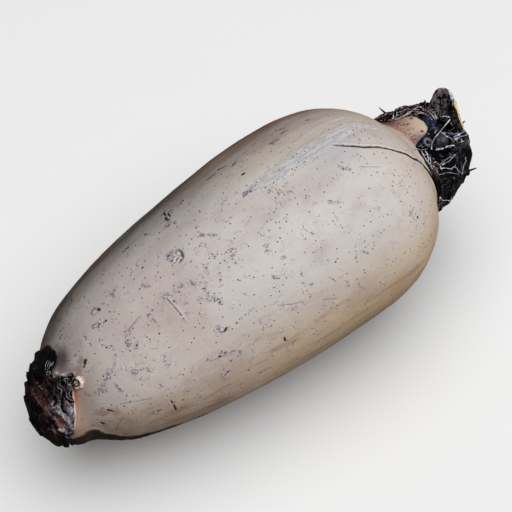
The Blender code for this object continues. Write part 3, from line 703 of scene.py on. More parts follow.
    # pits, the crack and the thin straight scratch
    f.paint((pits + ragged * 1.4).soft(-0.3, 0.3) * 0.45, "pitRim")
    f.paint((pits + ragged * 0.8).soft(0.15, 0.5) * 0.92, f.mix(neck, "pit", "neckPit"))
    crack, gape, rod = f.layer("crackLine")
    # painted highlight along the crack's raised upper lip
    f.paint(crack.around(0.7, 0.2, 0.6) * gape * 0.5, "crackLip")
    crackMask = ((abs(crack) + ragged * 0.4) / (gape + 0.01)).fall(0.24, 0.48) * gape.soft(0.02, 0.5)
    f.paint(crackMask * 0.95, "crack")
    f.paint(rod.around(0.55, 0.1, 0.4) * 0.45, "rodLip")
    f.paint((rod + ragged * 0.3).fall(0.06, 0.26) * 0.8, "rod")

    # beside the torn lower cap: a dark grey patch, a pink notch, a white lip, an orange line; painted shadow along
    # the underside, partly dark mud
    low = (angle + 0.05 * ragged).soft(0.14, 0.17)
    orange = f.mix(angle.soft(0.16, 0.26), "orange", "orangePale")
    bottomShadow = f.mix(station.soft(-62, -40), "underBlack", "underBrown")
    for share, name in (
            # a dark grey patch on the skin just beside the cap's edge
            ((gapTo(station, angle, (-73.9, -1.5), 18.0) + 3.0 * uneven).fall(0.8, 4.8) * 0.85, "soot"),
            ((gapTo(station, angle, (-72.5, -14.6), 19.0) + 1.5 * ragged).fall(0.4, 1.2) * 0.6, "amber"),
            (seam.fall(1.5, 4.0) * angle.around(0.05, 0.04, 0.09) * 0.7, "notch"),
            ((seam + ragged).fall(0.5, 1.2) * angle.around(0.055, 0.04, 0.06) * 0.9, "notchRim"),
            ((seam + 3.0 * uneven).fall(1.5, 9.0) * low * angle.fall(0.46, 0.56) * 0.6, "glow"),
            ((seam + 0.8 * uneven).around(1.05, 0.3, 0.95) * low * angle.fall(0.20, 0.36) * 0.85, orange),
            ((seam + 0.8 * ragged).around(0.30, 0.2, 0.45) * low * angle.fall(0.34, 0.40) * 0.9, "whiteLip"),
            ((gapTo(station, angle, (-73.9, 27.0), 19.4) + ragged).fall(1.7, 2.9) * 0.35, "collar"),
            # painted shadow along the underside, near black by the cap, partly dark mud
            (under * 0.96, f.mix(fine.soft(0.4, 0.7), bottomShadow, "underLight"))):
        f.paint(share, name)

    rough = 0.48 + 0.10 * uneven + 0.14 * bandMask + 0.18 * scuffMask + 0.10 * poreMask \
        + 0.25 * crackMask + 0.5 * under
    surface = f.bump(dust * 0.5 + fine * 0.5, 0.035)
    for height, depth in ((hairs, 0.03), (1 - poreMask, 0.09), (dust * bandMask.most(scuffMask), 0.07)):
        surface = f.bump(height, depth, surface)
    return f.feed(Roughness=rough, Normal=surface)


# Upper node: a dried black sleeve round the neck, with a window where the pale neck shows
sleeve = {
    "outline": (
        (58.0, 21.2), (62.0, 19.8), (68.0, 19.1), (72.0, 18.4), (75.5, 17.5), (79.0, 16.6), (82.0, 15.4),
        (83.7, 13.2), (84.8, 8.0),
    ),
    "end": 85.2,
    "edge": (
        (-180.0, 60.4), (-120.0, 60.0), (-85.0, 58.6), (-72.0, 57.6), (-60.0, 59.8), (-45.0, 61.8), (-35.0, 63.0),
        (-28.0, 65.4), (-20.0, 69.8), (-11.0, 71.4), (0.0, 71.7), (10.0, 70.3), (15.0, 68.0), (17.5, 64.0),
        (21.5, 60.6), (32.0, 59.8), (70.0, 59.6), (120.0, 60.0), (180.0, 60.4),
    ),
    "sides": 320,
    "rings": 140,
    "spacing": 1.15,         # rings stand closer near the end
    "fray": (0.45, 40.0),    # height of the torn edge's frays, and their seed
    "folds": (11, 0.65),       # how many, and their height
    "crease": 1.9,       # depth of the creases
    "hollow": (78.6, 21.0, 1.9),       # station, angle and depth
    "flatSide": (92.0, 1.3),       # angle and depth
    "scars": (       # places of the ring scars
        (65.4, 24.0), (67.2, 128.0), (66.0, 172.0), (67.0, 216.0), (66.0, 252.0),
    ),
    "wrinkle": 0.5,       # height of the lengthwise wrinkles
    "slit": ((64.5, 34.5), (67.2, 39.5), (70.7, 43.0), (74.3, 48.5), (77.0, 53.0)),
    "pit": (78.2, 17.5, 1.7),       # station, angle and depth
    "thinEdge": 0.55,       # how much thinner the edge is
    "tones": {               # colours as a screen shows them
        "black": (5, 4, 5), "charcoal": (17, 14, 17), "litRidge": (104, 100, 112), "shred": (176, 174, 190),
        "scratch": (112, 108, 116), "hem": (140, 132, 130), "crumpledHighlight": (184, 186, 208), "reddish": (88, 58, 54),
        "behind": (86, 60, 46), "windowDark": (12, 13, 20), "windowBlue": (62, 74, 110), "ringDark": (84, 82, 92),
        "ringLight": (150, 148, 156), "hollow": (2, 2, 2),
    },
}
sleeveOutline, sleeveEdge = smoothOutline(sleeve["outline"]), smoothOutline(sleeve["edge"])


def sleeveRelief(station, angle):
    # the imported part's folds, creases and hollows
    folds, height = sleeve["folds"]
    twist = 3.2 * ripple(station, angle, 8.0, 3.0)
    wave = height * np.sin(np.radians(angle) * folds + twist)
    crease = np.maximum(0.0, 0.22 - np.abs(ripple(station, 1.6 * angle, 6.0, 9.0))) / 0.22
    dipStation, dipAngle, depth = sleeve["hollow"]
    dip = depth * bell((station - dipStation) / 2.4) * bell((angle - dipAngle) / 11.0)
    sideAngle, sideDepth = sleeve["flatSide"]
    side = sideDepth * bell((angle - sideAngle) / 30.0) * smoothStep((station - 66.0) / 9.0)
    return wave - 0.5 * sleeve["crease"] * crease - dip - side


def sleeveRadius(station, angle):
    station, angle = np.broadcast_arrays(np.asarray(station, float), np.asarray(angle, float))
    angle = wrap(angle)
    closing = np.minimum(1.0, (sleeve["end"] - station) / 4.0)
    full = sleeveOutline(np.minimum(station, sleeve["outline"][-1][0])) + closing * sleeveRelief(station, angle)
    lip = bodyRadius(station) + segment["lip"]
    covered = np.maximum(lip, lip + (full - lip) * smoothStep((station - sleeveEdge(angle)) / 2.6))
    return np.where(station > segment["neckEnd"], full, covered)


def tornEdge(edge, angle, rough, seed):
    # the edge of a dried sleeve, frayed
    still = np.zeros_like(angle)
    return edge(wrap(angle)) + rough * ripple(still, angle, 1.0, seed, 9.0) \
        + 0.4 * rough * ripple(still, angle, 1.0, seed + 5, 26.0)


def gapOver(station, angle, radius, place):
    # distance in mm over a surface to a place
    return np.hypot(station - place[0], wrap(angle - place[1]) * radius * math.pi / 180)


def sleeveSurface(station, angle):
    # the wrinkled surface: distance from the axis, wrinkles, slit and crumple
    angle = wrap(angle)
    edge = tornEdge(sleeveEdge, angle, *sleeve["fray"])
    radius = sleeveRadius(station, angle)
    plain = places(station, angle, radius)
    runs = np.abs(ripple(station, angle, 7.0, 60.0, 7.0)) + 0.5 * np.abs(ripple(station, angle, 4.0, 66.0, 15.0))
    crumple = np.abs(grain(plain, 3.2, 31.0)) + 0.5 * np.abs(grain(plain, 1.5, 35.0))
    lowSide, face = between(angle, 15.0, 30.0, 150.0, 30.0), between(angle, 56.0, 10.0, 112.0, 14.0)
    wrinkles = sleeve["wrinkle"] * (0.55 - 1.5 * runs) + lowSide * (0.55 - 1.9 * crumple) * 0.9
    wrinkles *= 1 - 0.72 * face
    rings = np.zeros_like(radius)
    for place in sleeve["scars"]:
        gap = gapOver(station, angle, radius, place)
        rings += 0.45 * bell((gap - 1.1) / 0.45) - 1.2 * bell(gap / 0.6)
    slit = bell(strokeDistance(station, angle, radius * math.pi / 180, 1.0, sleeve["slit"])[0] / 0.85)
    s, a, depth = sleeve["pit"]
    pit = bell((station - s) / 1.9) * bell((angle - a) / 7.5)
    wrinkles = wrinkles * (1 - 0.8 * np.clip(np.abs(rings), 0, 1)) + rings - 1.3 * slit - depth * pit
    thin = sleeve["thinEdge"] * (1 - smoothStep((station - edge) / 1.8))
    thin += 1.1 * bell((angle - 106.0) / 15.0) * (1 - smoothStep((station - 60.5) / 5.0))
    fade = np.minimum(1.0, (sleeve["end"] - station) / 3.0) * smoothStep((station - edge) / 1.4)
    floor = rootRadius(np.minimum(station, segment["neckEnd"]), angle) + 0.45
    floor = np.where(station < segment["neckEnd"], floor, 0.0)
    return np.maximum(radius - thin + fade * wrinkles, floor), wrinkles, slit + pit, crumple


def sheath(sizes, edgeLine, outside, inside, surface):
    # a dried sleeve: its outside runs to the torn edge, its inside back over the root; outside and
    # inside are the stations of their tips and of the rings beside them
    outer = np.linspace(0.0, 1.0, sizes["rings"]) ** sizes["spacing"]
    bm = tube([-0.05, *outer, *np.linspace(1.02, 1.9, 10), 2.0], sizes["sides"])
    share, angle, poles = tubeSpots(bm)
    edge = tornEdge(edgeLine, angle, *sizes["fray"])
    out = share <= 1.0
    station = np.where(out, outside[1] + (edge - outside[1]) * np.clip(share, 0, 1),
                       edge + (inside[1] - edge) * (share - 1.0) / 0.9)
    fields = surface(station, angle)
    hug = rootRadius(np.minimum(station, segment["neckEnd"]), angle) + 0.12
    points = places(station, angle, np.where(poles, 0.0, np.where(out, fields[0], hug)))
    points[poles & out] = places(outside[0], 0.0, 0.0)
    points[poles & ~out] = places(inside[0], 0.0, 0.0)
    return bm, points, station, angle, edge, fields


def upperSleeve():
    end, neckEnd = sleeve["end"], segment["neckEnd"]
    bm, points, station, angle, edge, (radius, wrinkles, slit, crumple) = sheath(
        sleeve, sleeveEdge, (end - 0.2, end - 0.35), (neckEnd + 0.25, neckEnd), sleeveSurface)
    piece = pieceFrom(bm, "upperSleeve", points, sleeveFinish(), "upper_node")
    litRidge = np.clip(0.5 + 0.9 * wrinkles + 0.35 * sleeveRelief(station, wrap(angle)), 0, 1)
    layer(piece, "folds", litRidge, station - edge, crumple)
    layer(piece, "scars", gapOver(station, angle, radius, sleeve["scars"][0]), slit)
    placeLayer(piece, station, angle)


def sleeveFinish():
    f = Finish("driedSheath", sleeve["tones"], Specular_IOR_Level=0.04)
    litRidge, edge, crumple = f.layer("folds")
    first, slit, _ = f.layer("scars")
    station, angle = f.places()
    patch = f.cloud(5.0, 3.0)
    fibres = f.cloud(0.9, 3.0, f.stretch(0.18), twist=0.6)
    dust = f.cloud(0.5, 2.0)
    speck, strand = dust - 0.5, fibres - 0.5
    face = angle.around(0.46, 0.10, 0.19)
    f.colour = f.mix(patch.soft(0.35, 0.7), "black", "charcoal")
    # painted highlight on the tops of the folds, fainter on the smooth lower face
    litRidges = (litRidge + 0.6 * strand).soft(0.70, 1.0) * (1 - 0.7 * face)
    f.paint(litRidges * 0.45, "litRidge")
    shreds = f.squiggles(2.4, 0.030, f.stretch(0.7, 1.0)) * f.cloud(2.8, 2.0, f.stretch(1.2)).soft(0.50, 0.58)
    shreds = shreds * (1 - 0.8 * face)
    f.paint(shreds * 0.8, "shred")
    scratches = f.squiggles(2.6, 0.016, f.stretch(0.9, 0.25)) * patch.soft(0.45, 0.6) * face
    f.paint(scratches * 0.6, "scratch")
    hem = (edge + 2 * speck).around(1.6, 0.6, 2.0) * angle.around(0.53, 0.05, 0.09)
    f.paint(hem * fibres.soft(0.45, 0.6) * 0.8, "hem")

    # painted highlight, grey-blue, on the crumpled skin below the hood; a reddish patch by the body, brown behind,
    # blue-black at the window
    crumpledHighlight = station.around(78.5, 2.4, 4.6) * angle.around(0.235, 0.04, 0.085) * crumple.fall(0.02, 0.22)
    f.paint(crumpledHighlight * (0.35 + 0.65 * f.squiggles(1.6, 0.09)), "crumpledHighlight")
    red = (station + 1.5 * (patch - 0.5)).around(61.6, 0.5, 1.5) * angle.around(0.278, 0.03, 0.06)
    f.paint(red * 0.75, "reddish")
    behind = angle.fall(-0.30, -0.15) * angle.soft(-0.8, -0.6) * station.fall(66, 76)
    f.paint(behind * (0.3 + 0.6 * fibres), "behind")
    window = (edge + speck).around(1.6, 1.2, 2.2) * angle.around(0.045, 0.05, 0.085)
    f.paint(window * 0.9, f.mix((dust + strand).soft(0.35, 0.65), "windowDark", "windowBlue"))

    # the ring scar, and painted shade: near black in the slit, the pit and the ring scar's middle
    around = (first + 0.8 * speck).around(1.1, 0.2, 0.9)
    f.paint(around * 0.85, f.mix(dust.soft(0.35, 0.6), "ringDark", "ringLight"))
    f.paint(slit.soft(0.25, 0.7).most(first.fall(0.5, 0.85)) * 0.97, "hollow")
    surface = f.bump(dust, 0.10, f.bump(fibres + 0.5 * shreds, 0.35))
    return f.feed(Roughness=0.60 + 0.20 * speck + 0.10 * litRidges - 0.12 * face, Normal=surface)


# The bud, and dried roots: combed over the far side, crossing the node, and single pale threads
roots = {
    "seed": 7,
    "bud": (69.9, 31.0, 17.9, 2.9, 2.8),     # station, angle, distance, half length, half width
    "matRoots": 13,
    "matAngles": (-116.0, 5.2),
    "crossRoots": 15,
    "tips": (       # roots that stand off: station, angle, reach and lean
        (73.5, -74.0, 6.2, -0.1), (82.0, 28.0, 4.6, 0.0), (62.0, -66.0, 2.6, -0.7), (79.0, -24.0, 1.2, 0.5),
    ),
    "boldMat": (40, (0.5, 0.9), 0.0),        # strands, their thickness and how far they are raised
    "fineMat": (46, (0.18, 0.36), 0.25),
    "threads": 34,
    "dark": (                # thickness, how thin it ends, then places with their distance from the axis
        (1.7, 0.8, ((80.2, 12.2, 22.6), (80.2, 15.6, 21.4), (80.2, 19.8, 19.8), (80.2, 25.6, 18.5),
                    (80.2, 32.0, 17.8))),
        (1.7, 0.8, ((79.4, 13.2, 21.6), (79.5, 17.0, 20.0), (79.6, 22.0, 18.6), (79.6, 28.0, 17.8),
                    (79.6, 34.0, 17.4))),
        (1.7, 0.8, ((78.9, 19.0, 18.8), (79.0, 23.0, 17.8), (79.2, 27.5, 17.3), (79.2, 31.0, 17.0))),
        (1.6, 0.25, ((73.2, 79.0, 16.8), (75.6, 82.4, 17.2), (78.2, 85.2, 17.2), (81.0, 87.4, 17.5))),
    ),
    "taut": (                # pale threads across the hollow and round the hood's foot
        (0.44, ((80.6, 15.6, 17.9), (73.6, 20.9, 19.1), (66.6, 26.2, 20.2), (64.3, 32.0, 19.9))),
        (0.45, ((75.6, 10.8, 19.6), (76.4, 13.3, 20.4), (77.8, 15.8, 19.7), (80.0, 17.0, 17.0))),
    ),
    "named": (       # thickness, then the places that a pale thread runs through
        (0.62, (66.1, 34.6), (67.9, 37.1), (70.3, 38.6), (72.4, 40.9), (74.2, 46.3)),
        (0.62, (72.0, 22.3), (73.0, 27.8), (73.7, 32.9), (74.2, 38.9)),
        (0.5, (77.3, -17.2), (75.6, -3.9), (74.7, 8.2)), (0.3, (78.6, -16.0), (77.1, -3.6), (76.4, 7.0)),
        (0.45, (79.8, 15.2), (80.0, 23.6), (80.5, 33.5)), (0.55, (74.9, 34.8), (77.9, 36.1), (82.2, 37.7)),
        (0.5, (74.8, 37.2), (77.8, 39.1), (81.5, 42.3)), (0.4, (74.6, 44.6), (77.6, 44.8), (80.3, 47.1)),
        (0.4, (74.9, 48.8), (77.7, 50.2), (80.0, 52.0)),
        (0.35, (77.9, 26.3), (80.1, 26.9), (80.2, 32.8), (78.0, 33.6), (77.0, 29.1)),
        (0.3, (63.7, 52.7), (65.0, 49.3), (67.2, 48.5), (69.9, 48.5)),
        (0.34, (65.5, 51.4), (69.4, 51.2), (72.9, 51.5)),
        (0.3, (64.0, 53.3), (65.4, 54.5), (67.0, 57.9), (68.3, 60.8), (69.4, 60.7), (70.6, 60.5)),
        (0.3, (70.4, 62.6), (71.7, 69.1), (73.3, 78.6)),
        (0.42, (73.3, 78.6), (74.4, 73.0), (76.1, 68.7), (77.5, 64.7)),
        (0.14, (62.7, 57.7), (65.5, 60.5), (68.2, 65.6), (71.4, 73.9)),
        (0.3, (58.4, 23.9), (60.0, 24.5), (61.2, 27.3), (63.2, 29.2)),
        (0.32, (60.6, 27.9), (60.4, 32.8), (60.2, 37.2), (60.2, 41.2)),
        (0.35, (62.0, 29.7), (61.5, 34.6), (60.7, 39.0), (60.5, 43.1)),
        (0.42, (61.8, 37.3), (61.3, 40.9), (60.7, 44.5), (60.2, 47.0)),
        (0.35, (62.2, 43.5), (63.9, 45.2), (64.5, 49.5), (64.7, 53.3)),
        (0.28, (61.2, 45.2), (61.6, 48.1), (62.1, 52.3), (62.0, 55.4)),
        (0.38, (59.9, 83.0), (60.2, 79.0), (61.2, 84.5), (63.2, 92.0), (65.2, 96.5), (66.4, 97.0), (66.9, 94.1)),
    ),
    "matNamed": (       # the same for the grey strands that arch over the window
        (0.45, (64.2, -24.8), (67.2, -30.9), (70.7, -36.6), (73.9, -37.1), (76.7, -34.3), (79.0, -25.5)),
        (0.4, (69.9, -37.2), (72.5, -34.6), (74.5, -27.3), (76.4, -19.3), (76.6, -11.9)),
        (0.38, (67.4, -23.3), (70.6, -25.0), (72.9, -23.3), (74.5, -19.0)),
        (0.42, (64.5, -21.7), (67.2, -20.4), (70.7, -20.3), (73.0, -15.6), (73.9, -7.7), (73.7, 2.0), (73.8, 11.0)),
        (0.34, (71.4, -14.4), (72.7, -11.1), (73.4, -8.4), (73.7, -0.9), (73.8, 7.9)),
        (0.34, (75.6, -23.0), (76.1, -16.5), (75.0, -6.7)), (0.36, (64.4, -40.8), (67.6, -44.6), (69.1, -40.9)),
        (0.95, (78.1, -15.3), (76.6, -4.1), (75.7, 6.4)),
    ),
    "tones": {               # the dark and the light colour of each finish
        "driedRootFibre": ((14, 12, 13), (66, 60, 64)),
        "boldMatFibre": ((10, 8, 8), (84, 66, 58)),
        "combedMatFibre": ((70, 56, 54), (222, 206, 202)),
        "dryThreadFibre": ((140, 138, 152), (238, 236, 244)),
        "capHighlightFibre": ((84, 82, 96), (168, 166, 184)),
        "driedBud": ((16, 16, 20), (72, 76, 88)),
    },
}


def strandPiece(name, strands, material, sides=6):
    # round roots through points in mm; each strand is its points, its thickness and how thin it ends
    curve = bpy.data.curves.new(name, "CURVE")
    curve.dimensions = "3D"
    curve.bevel_depth = 1.0
    curve.bevel_resolution = max(0, sides // 2 - 2)
    curve.use_fill_caps = True
    for points, thickness, end in strands:
        line = curve.splines.new("POLY")
        line.points.add(len(points) - 1)
        for i, (knot, p) in enumerate(zip(line.points, points)):
            knot.co = (*(resting @ Vector(p)), 1.0)
            knot.radius = 0.0005 * thickness * (1.0 - (1.0 - end) * i / (len(points) - 1))
    holder = bpy.data.objects.new(name, curve)
    bpy.context.scene.collection.objects.link(holder)
    bpy.context.view_layer.update()
    mesh = bpy.data.meshes.new_from_object(holder.evaluated_get(bpy.context.evaluated_depsgraph_get()))
    bpy.data.objects.remove(holder)
    bm = bmesh.new()
    bm.from_mesh(mesh)
    bmesh.ops.remove_doubles(bm, verts=bm.verts, dist=1e-7)
    return addPiece(bm, name, material, None)


def overSleeve(station, angle, lift):
    # points that lie this far above the wrinkled sleeve
    station, angle = np.asarray(station, float), np.asarray(angle, float)
    radius = np.maximum(sleeveSurface(station, angle)[0], sleeveRadius(station, angle) - 0.9)
    return places(station, angle, radius + lift)


def smoothLine(xs, ys, t):
    # a curve through the values that also turns smoothly at them
    slope = np.gradient(ys, xs)
    i = np.clip(np.searchsorted(xs, t) - 1, 0, len(xs) - 2)
    step = xs[i + 1] - xs[i]
    u = (t - xs[i]) / step
    return ys[i] * (1 + 2 * u) * (1 - u) ** 2 + ys[i + 1] * u * u * (3 - 2 * u) \
        + step * (slope[i] * u * (1 - u) ** 2 + slope[i + 1] * u * u * (u - 1))


def through(spots, count=None):
    # stations, angles and distances, if any, along a smooth line through the given places
    knots = np.array(spots, float)
    share, t = np.linspace(0, 1, len(knots)), np.linspace(0, 1, count or 7 * len(knots))
    if len(knots) < 3:
        return [np.interp(t, share, column) for column in knots.T]
    return [smoothLine(share, column, t) for column in knots.T]


def thickRoots(rng):
    # the thick dried roots: side by side over the far side, crossing the node, standing off and in its hollow
    first, step = roots["matAngles"]
    thick = []
    t = np.linspace(0, 1, 16)
    for i in range(roots["matRoots"]):
        angle = first + step * i + rng.uniform(-2, 2)
        start = 80.0 + rng.uniform(-2.0, 2.0)
        end = max(60.8, float(sleeveEdge(angle))) + rng.uniform(0.2, 1.5)
        path = overSleeve(start + (end - start) * t, angle + rng.uniform(-8, 8) * t, -0.9 + 0.2 * np.sin(7 * t + i))
        thick.append((path, rng.uniform(1.2, 1.8), 0.65))
    for i in range(roots["crossRoots"]):
        angle = rng.uniform(110, 270) if i % 3 else rng.uniform(40, 58)
        station = rng.uniform(72, 79)
        heading = rng.uniform(-1, 1)
        path = overSleeve(station + 9 * heading * (t - 0.5), angle + 50 * (t - 0.5) * (1 if i % 3 else 0.3),
                          0.1 + 0.4 * np.sin(5 * t + i))
        thick.append((path, rng.uniform(0.9, 1.3), 0.65))
    for station, angle, reach, lean in roots["tips"]:
        foot = overSleeve(station, angle, -1.0)
        out = places(station, angle, 1.0) - places(station, angle, 0.0)
        tip = out * (1.0 + reach) + np.array((lean * reach, 0, 0))
        thick.append(([foot, foot + tip * 0.5, foot + tip], 1.6, 0.15))
    for width, end, path in roots["dark"]:
        thick.append((places(*through(path, 12)), width, end))
    return thick


def matStrands(rng, count, widths, lift, named):
    # strands combed lengthwise over the far side, then those placed one by one
    mat = []
    t = np.linspace(0, 1, 14)
    for _ in range(count):
        angle = rng.uniform(-116, -24)
        start = rng.uniform(73.0, 82.0)
        end = max(60.6, float(sleeveEdge(angle))) - rng.uniform(-0.6, 1.0)
        drift, wave = rng.uniform(-14, 16), rng.uniform(0, 6)
        above = -0.5 + 0.25 * np.sin(5 * t + wave) + rng.uniform(0, 0.2) + lift
        path = overSleeve(start + (end - start) * t, angle + drift * (1 - t) + 3 * np.sin(6 * t + wave), above)
        mat.append((path, rng.uniform(*widths), 0.4))
    for width, *spots in named:
        station, angle = through(spots)
        mat.append((overSleeve(station, angle, 0.35 + 0.1 * np.sin(np.arange(len(station)))), width, 0.6))
    return mat


def paleThreads(rng):
    pale = []
    for width, *spots in roots["named"]:
        station, angle = through(spots)
        t = np.linspace(0, 1, len(station))
        above = 0.22 + 0.12 * np.sin(9 * t) + 0.5 * (width > 0.6 and spots[0][0] < 70)
        pale.append((overSleeve(station, angle, above), width, 0.6))
    for width, path in roots["taut"]:
        pale.append((places(*through(path, 14)), width, 0.75))
    t = np.linspace(-0.5, 0.5, 9)
    for _ in range(roots["threads"]):
        angle = rng.uniform(110, 330)
        station = rng.uniform(64, 81)
        heading, wave = rng.uniform(-1, 1), rng.uniform(0, 6)
        station = np.clip(station + 12 * heading * t, 61.5, 83.0)
        angle = angle + rng.uniform(10, 34) * t + 3 * np.sin(7 * t + wave)
        path = overSleeve(station, angle, 0.15 + 0.2 * np.sin(6 * t + wave))
        pale.append((path, rng.uniform(0.14, 0.28), 0.5))
    return pale


def driedRoots():
    rng = random.Random(roots["seed"])
    for name, strands, finish, sides in (
            ("driedRoots", thickRoots(rng), "driedRootFibre", 8),
            ("boldMat", matStrands(rng, *roots["boldMat"], ()), "boldMatFibre", 6),
            ("combedMat", matStrands(rng, *roots["fineMat"], roots["matNamed"]), "combedMatFibre", 6),
            ("dryThreads", paleThreads(rng), "dryThreadFibre", 6)):
        strandPiece(name, strands, rootFinish(finish), sides)


def rootFinish(name):
    f = Finish(name, None, Specular_IOR_Level=0.2)
    dark, light = roots["tones"][name]
    along = f.cloud(1.3, 1.0, f.stretch(0.10))
    fibres = f.cloud(0.5, 2.0, f.stretch(0.3))
    strand = fibres - 0.5
    f.colour = f.mix((along + 0.5 * strand).soft(0.40, 0.66), tone(*dark), tone(*light))
    return f.feed(Roughness=0.55 + 0.2 * strand, Normal=f.bump(fibres, 0.08))


def bud():
    station, angle, radius, length, width = roots["bud"]
    bm = bmesh.new()
    bmesh.ops.create_uvsphere(bm, u_segments=64, v_segments=40, radius=1.0)
    spin = Matrix.Rotation(math.radians(angle), 3, "X")
    middle = Vector(places(station, angle, radius))
    for v in bm.verts:
        bump = 0.10 * noise.noise(v.co * 2.1) + 0.05 * noise.noise(v.co * 6)
        shape = Vector((v.co.z * length, v.co.x * width, v.co.y * width)) * (1 + bump)
        v.co = resting @ (middle + spin @ shape)
    f = Finish("driedBud", None, Specular_IOR_Level=0.45)
    dark, light = roots["tones"]["driedBud"]
    patch, fine = f.cloud(2.6, 3.0), f.cloud(0.6, 3.0)
    f.colour = f.mix(patch.soft(0.44, 0.68), tone(*dark), tone(*light))
    f.feed(Roughness=0.30 + 0.3 * (fine - 0.5), Normal=f.bump(fine, 0.12))
    addPiece(bm, "bud", f.material, None)


# Stub of the leaf stalk: a dried hood, hollow towards the body, with pale rims painted as highlight and painted shade
# inside the hollow; its left and right outlines differ
hood = {
    "station": 80.2,
    "angle": 2.5,
    "foot": 14.7,
    "left": (       # distance from the axis, half width
        (14.7, 5.5), (17.6, 5.8), (22.0, 5.2), (24.8, 3.8), (26.6, 1.9),
    ),
    "right": ((14.7, 4.4), (19.0, 4.1), (22.6, 4.0), (25.4, 3.2), (26.6, 2.0)),
    "backDepth": 0.66,       # how flat the side away from the body is
    "tip": 27.5,
    "flatness": 0.62,       # depth as a share of the width
    "hollow": 0.85,       # depth of the hollow
    "rings": 100,
    "sides": 140,
    "tones": {               # colours as a screen shows them
        "black": (12, 11, 12), "charcoal": (42, 38, 44), "hoodHollowShade": (4, 3, 4), "hoodFoldHighlight": (120, 108, 114),
        "streak": (222, 214, 220), "net": (188, 180, 182), "rimShade": (120, 116, 150), "rim": (236, 234, 246),
    },
}
hoodLeft, hoodRight = smoothOutline(hood["left"]), smoothOutline(hood["right"])


def stalkHood():
    heights = [hood["foot"] - 0.01, *np.linspace(hood["foot"], hood["tip"] - 0.05, hood["rings"]), hood["tip"]]
    bm = tube(heights, hood["sides"])
    rise, turned, poles = tubeSpots(bm)
    turn = np.radians(turned)
    level = np.minimum(rise, hood["left"][-1][0])
    towards = smoothStep(0.5 + 0.5 * np.cos(turn))
    width = hoodLeft(level) + (hoodRight(level) - hoodLeft(level)) * towards
    width *= 1.0 + 0.04 * np.sin(5 * turn + 0.4 * rise) + 0.03 * np.sin(9 * turn)
    width *= 1 + 0.05 * ripple(rise, turned, 3.5, 71.0, 4.0)
    depth = width * hood["flatness"]
    sideways, along = width * np.cos(turn), depth * np.sin(turn)
    opening = smoothStep((rise - 17.0) / 3.4)
    front = np.clip(-np.sin(turn), 0, 1)
    middle = bell(sideways / (0.64 * width))
    folds = np.sin(2.3 * rise + 0.5 * sideways + 1.4 * ripple(rise, turned, 3.0, 75.0, 5.0))
    along *= np.where(along > 0, hood["backDepth"], 1.0)
    along += 1.6 * hood["hollow"] * opening * depth * middle * (along < 0)
    along += 0.42 * opening * middle * front * folds
    closing = np.where(poles, 0.0, np.clip((hood["tip"] - rise) / 0.9, 0.0, 1.0) ** 0.6)
    across = places(0, hood["angle"] + 90.0, 1.0) - places(0, 0, 0)
    points = places(hood["station"], hood["angle"], rise) + (sideways * closing)[:, None] * across
    points[:, 0] += along * closing
    piece = pieceFrom(bm, "stalkHood", points, hoodFinish(), "leaf_stalk_stub")
    # where the painted highlight goes: the crests of the rims and the tip
    crest = np.where(np.cos(turn) < 0, bell((front - 0.70) / 0.10), bell((front - 0.2) / 0.26))
    rim = crest * opening + 1.1 * smoothStep(rise - 24.4)
    layer(piece, "hoodParts", rim, middle * front * opening, 0.5 + 0.5 * folds)
    layer(piece, "hoodSpots", rise, front)


def hoodFinish():
    f = Finish("driedStalk", hood["tones"], Specular_IOR_Level=0.06)
    rim, within, folds = f.layer("hoodParts")
    rise, front, _ = f.layer("hoodSpots")
    fibres = f.cloud(0.7, 3.0, f.stretch(1.0, 1.0, 0.22), twist=0.5)
    dust = f.cloud(0.5, 2.0)
    speck = dust - 0.5
    f.colour = f.mix(fibres.soft(0.4, 0.7), "black", "charcoal")
    streaks = f.squiggles(2.2, 0.095, f.stretch(1.0, 1.0, 0.35)) * f.cloud(2.4, 2.0).soft(0.44, 0.52)
    # inside the hollow: painted shade, painted highlight on the fold tops, and pale streaks
    inner = f.mix((folds + 0.4 * speck).soft(0.72, 1.0), "hoodHollowShade", "hoodFoldHighlight")
    f.paint(within.soft(0.12, 0.5), f.mix(streaks, inner, "streak"))
    net = (rise + dust).fall(17.4, 20.6) * front.soft(0.1, 0.4) * f.squiggles(1.5, 0.09)
    f.paint(net * 0.9, "net")
    # painted highlight along the rims and at the tip
    f.paint((rim + 0.8 * speck).soft(0.35, 0.70) * 0.95, f.mix(fibres.soft(0.42, 0.58), "rimShade", "rim"))
    return f.feed(Roughness=0.58 + 0.3 * speck, Normal=f.bump(fibres, 0.35))


# A strip of straw-coloured dry skin that peels off beside the hood: angle and distance at one station
loose = {
    "station": 80.6,
    "straw": ((11.0, 24.2), (12.6, 23.4), (15.9, 22.1), (19.4, 20.6), (24.4, 19.2), (29.0, 18.5), (33.2, 18.2)),
    "width": 1.35,
    "thickness": 0.3,
    "lean": (0.55, 0.0, 0.35),       # which way the strip is broad
    "narrowing": 0.55,
    "tones": {"straw": (250, 226, 172), "brown": (156, 112, 70)},
}


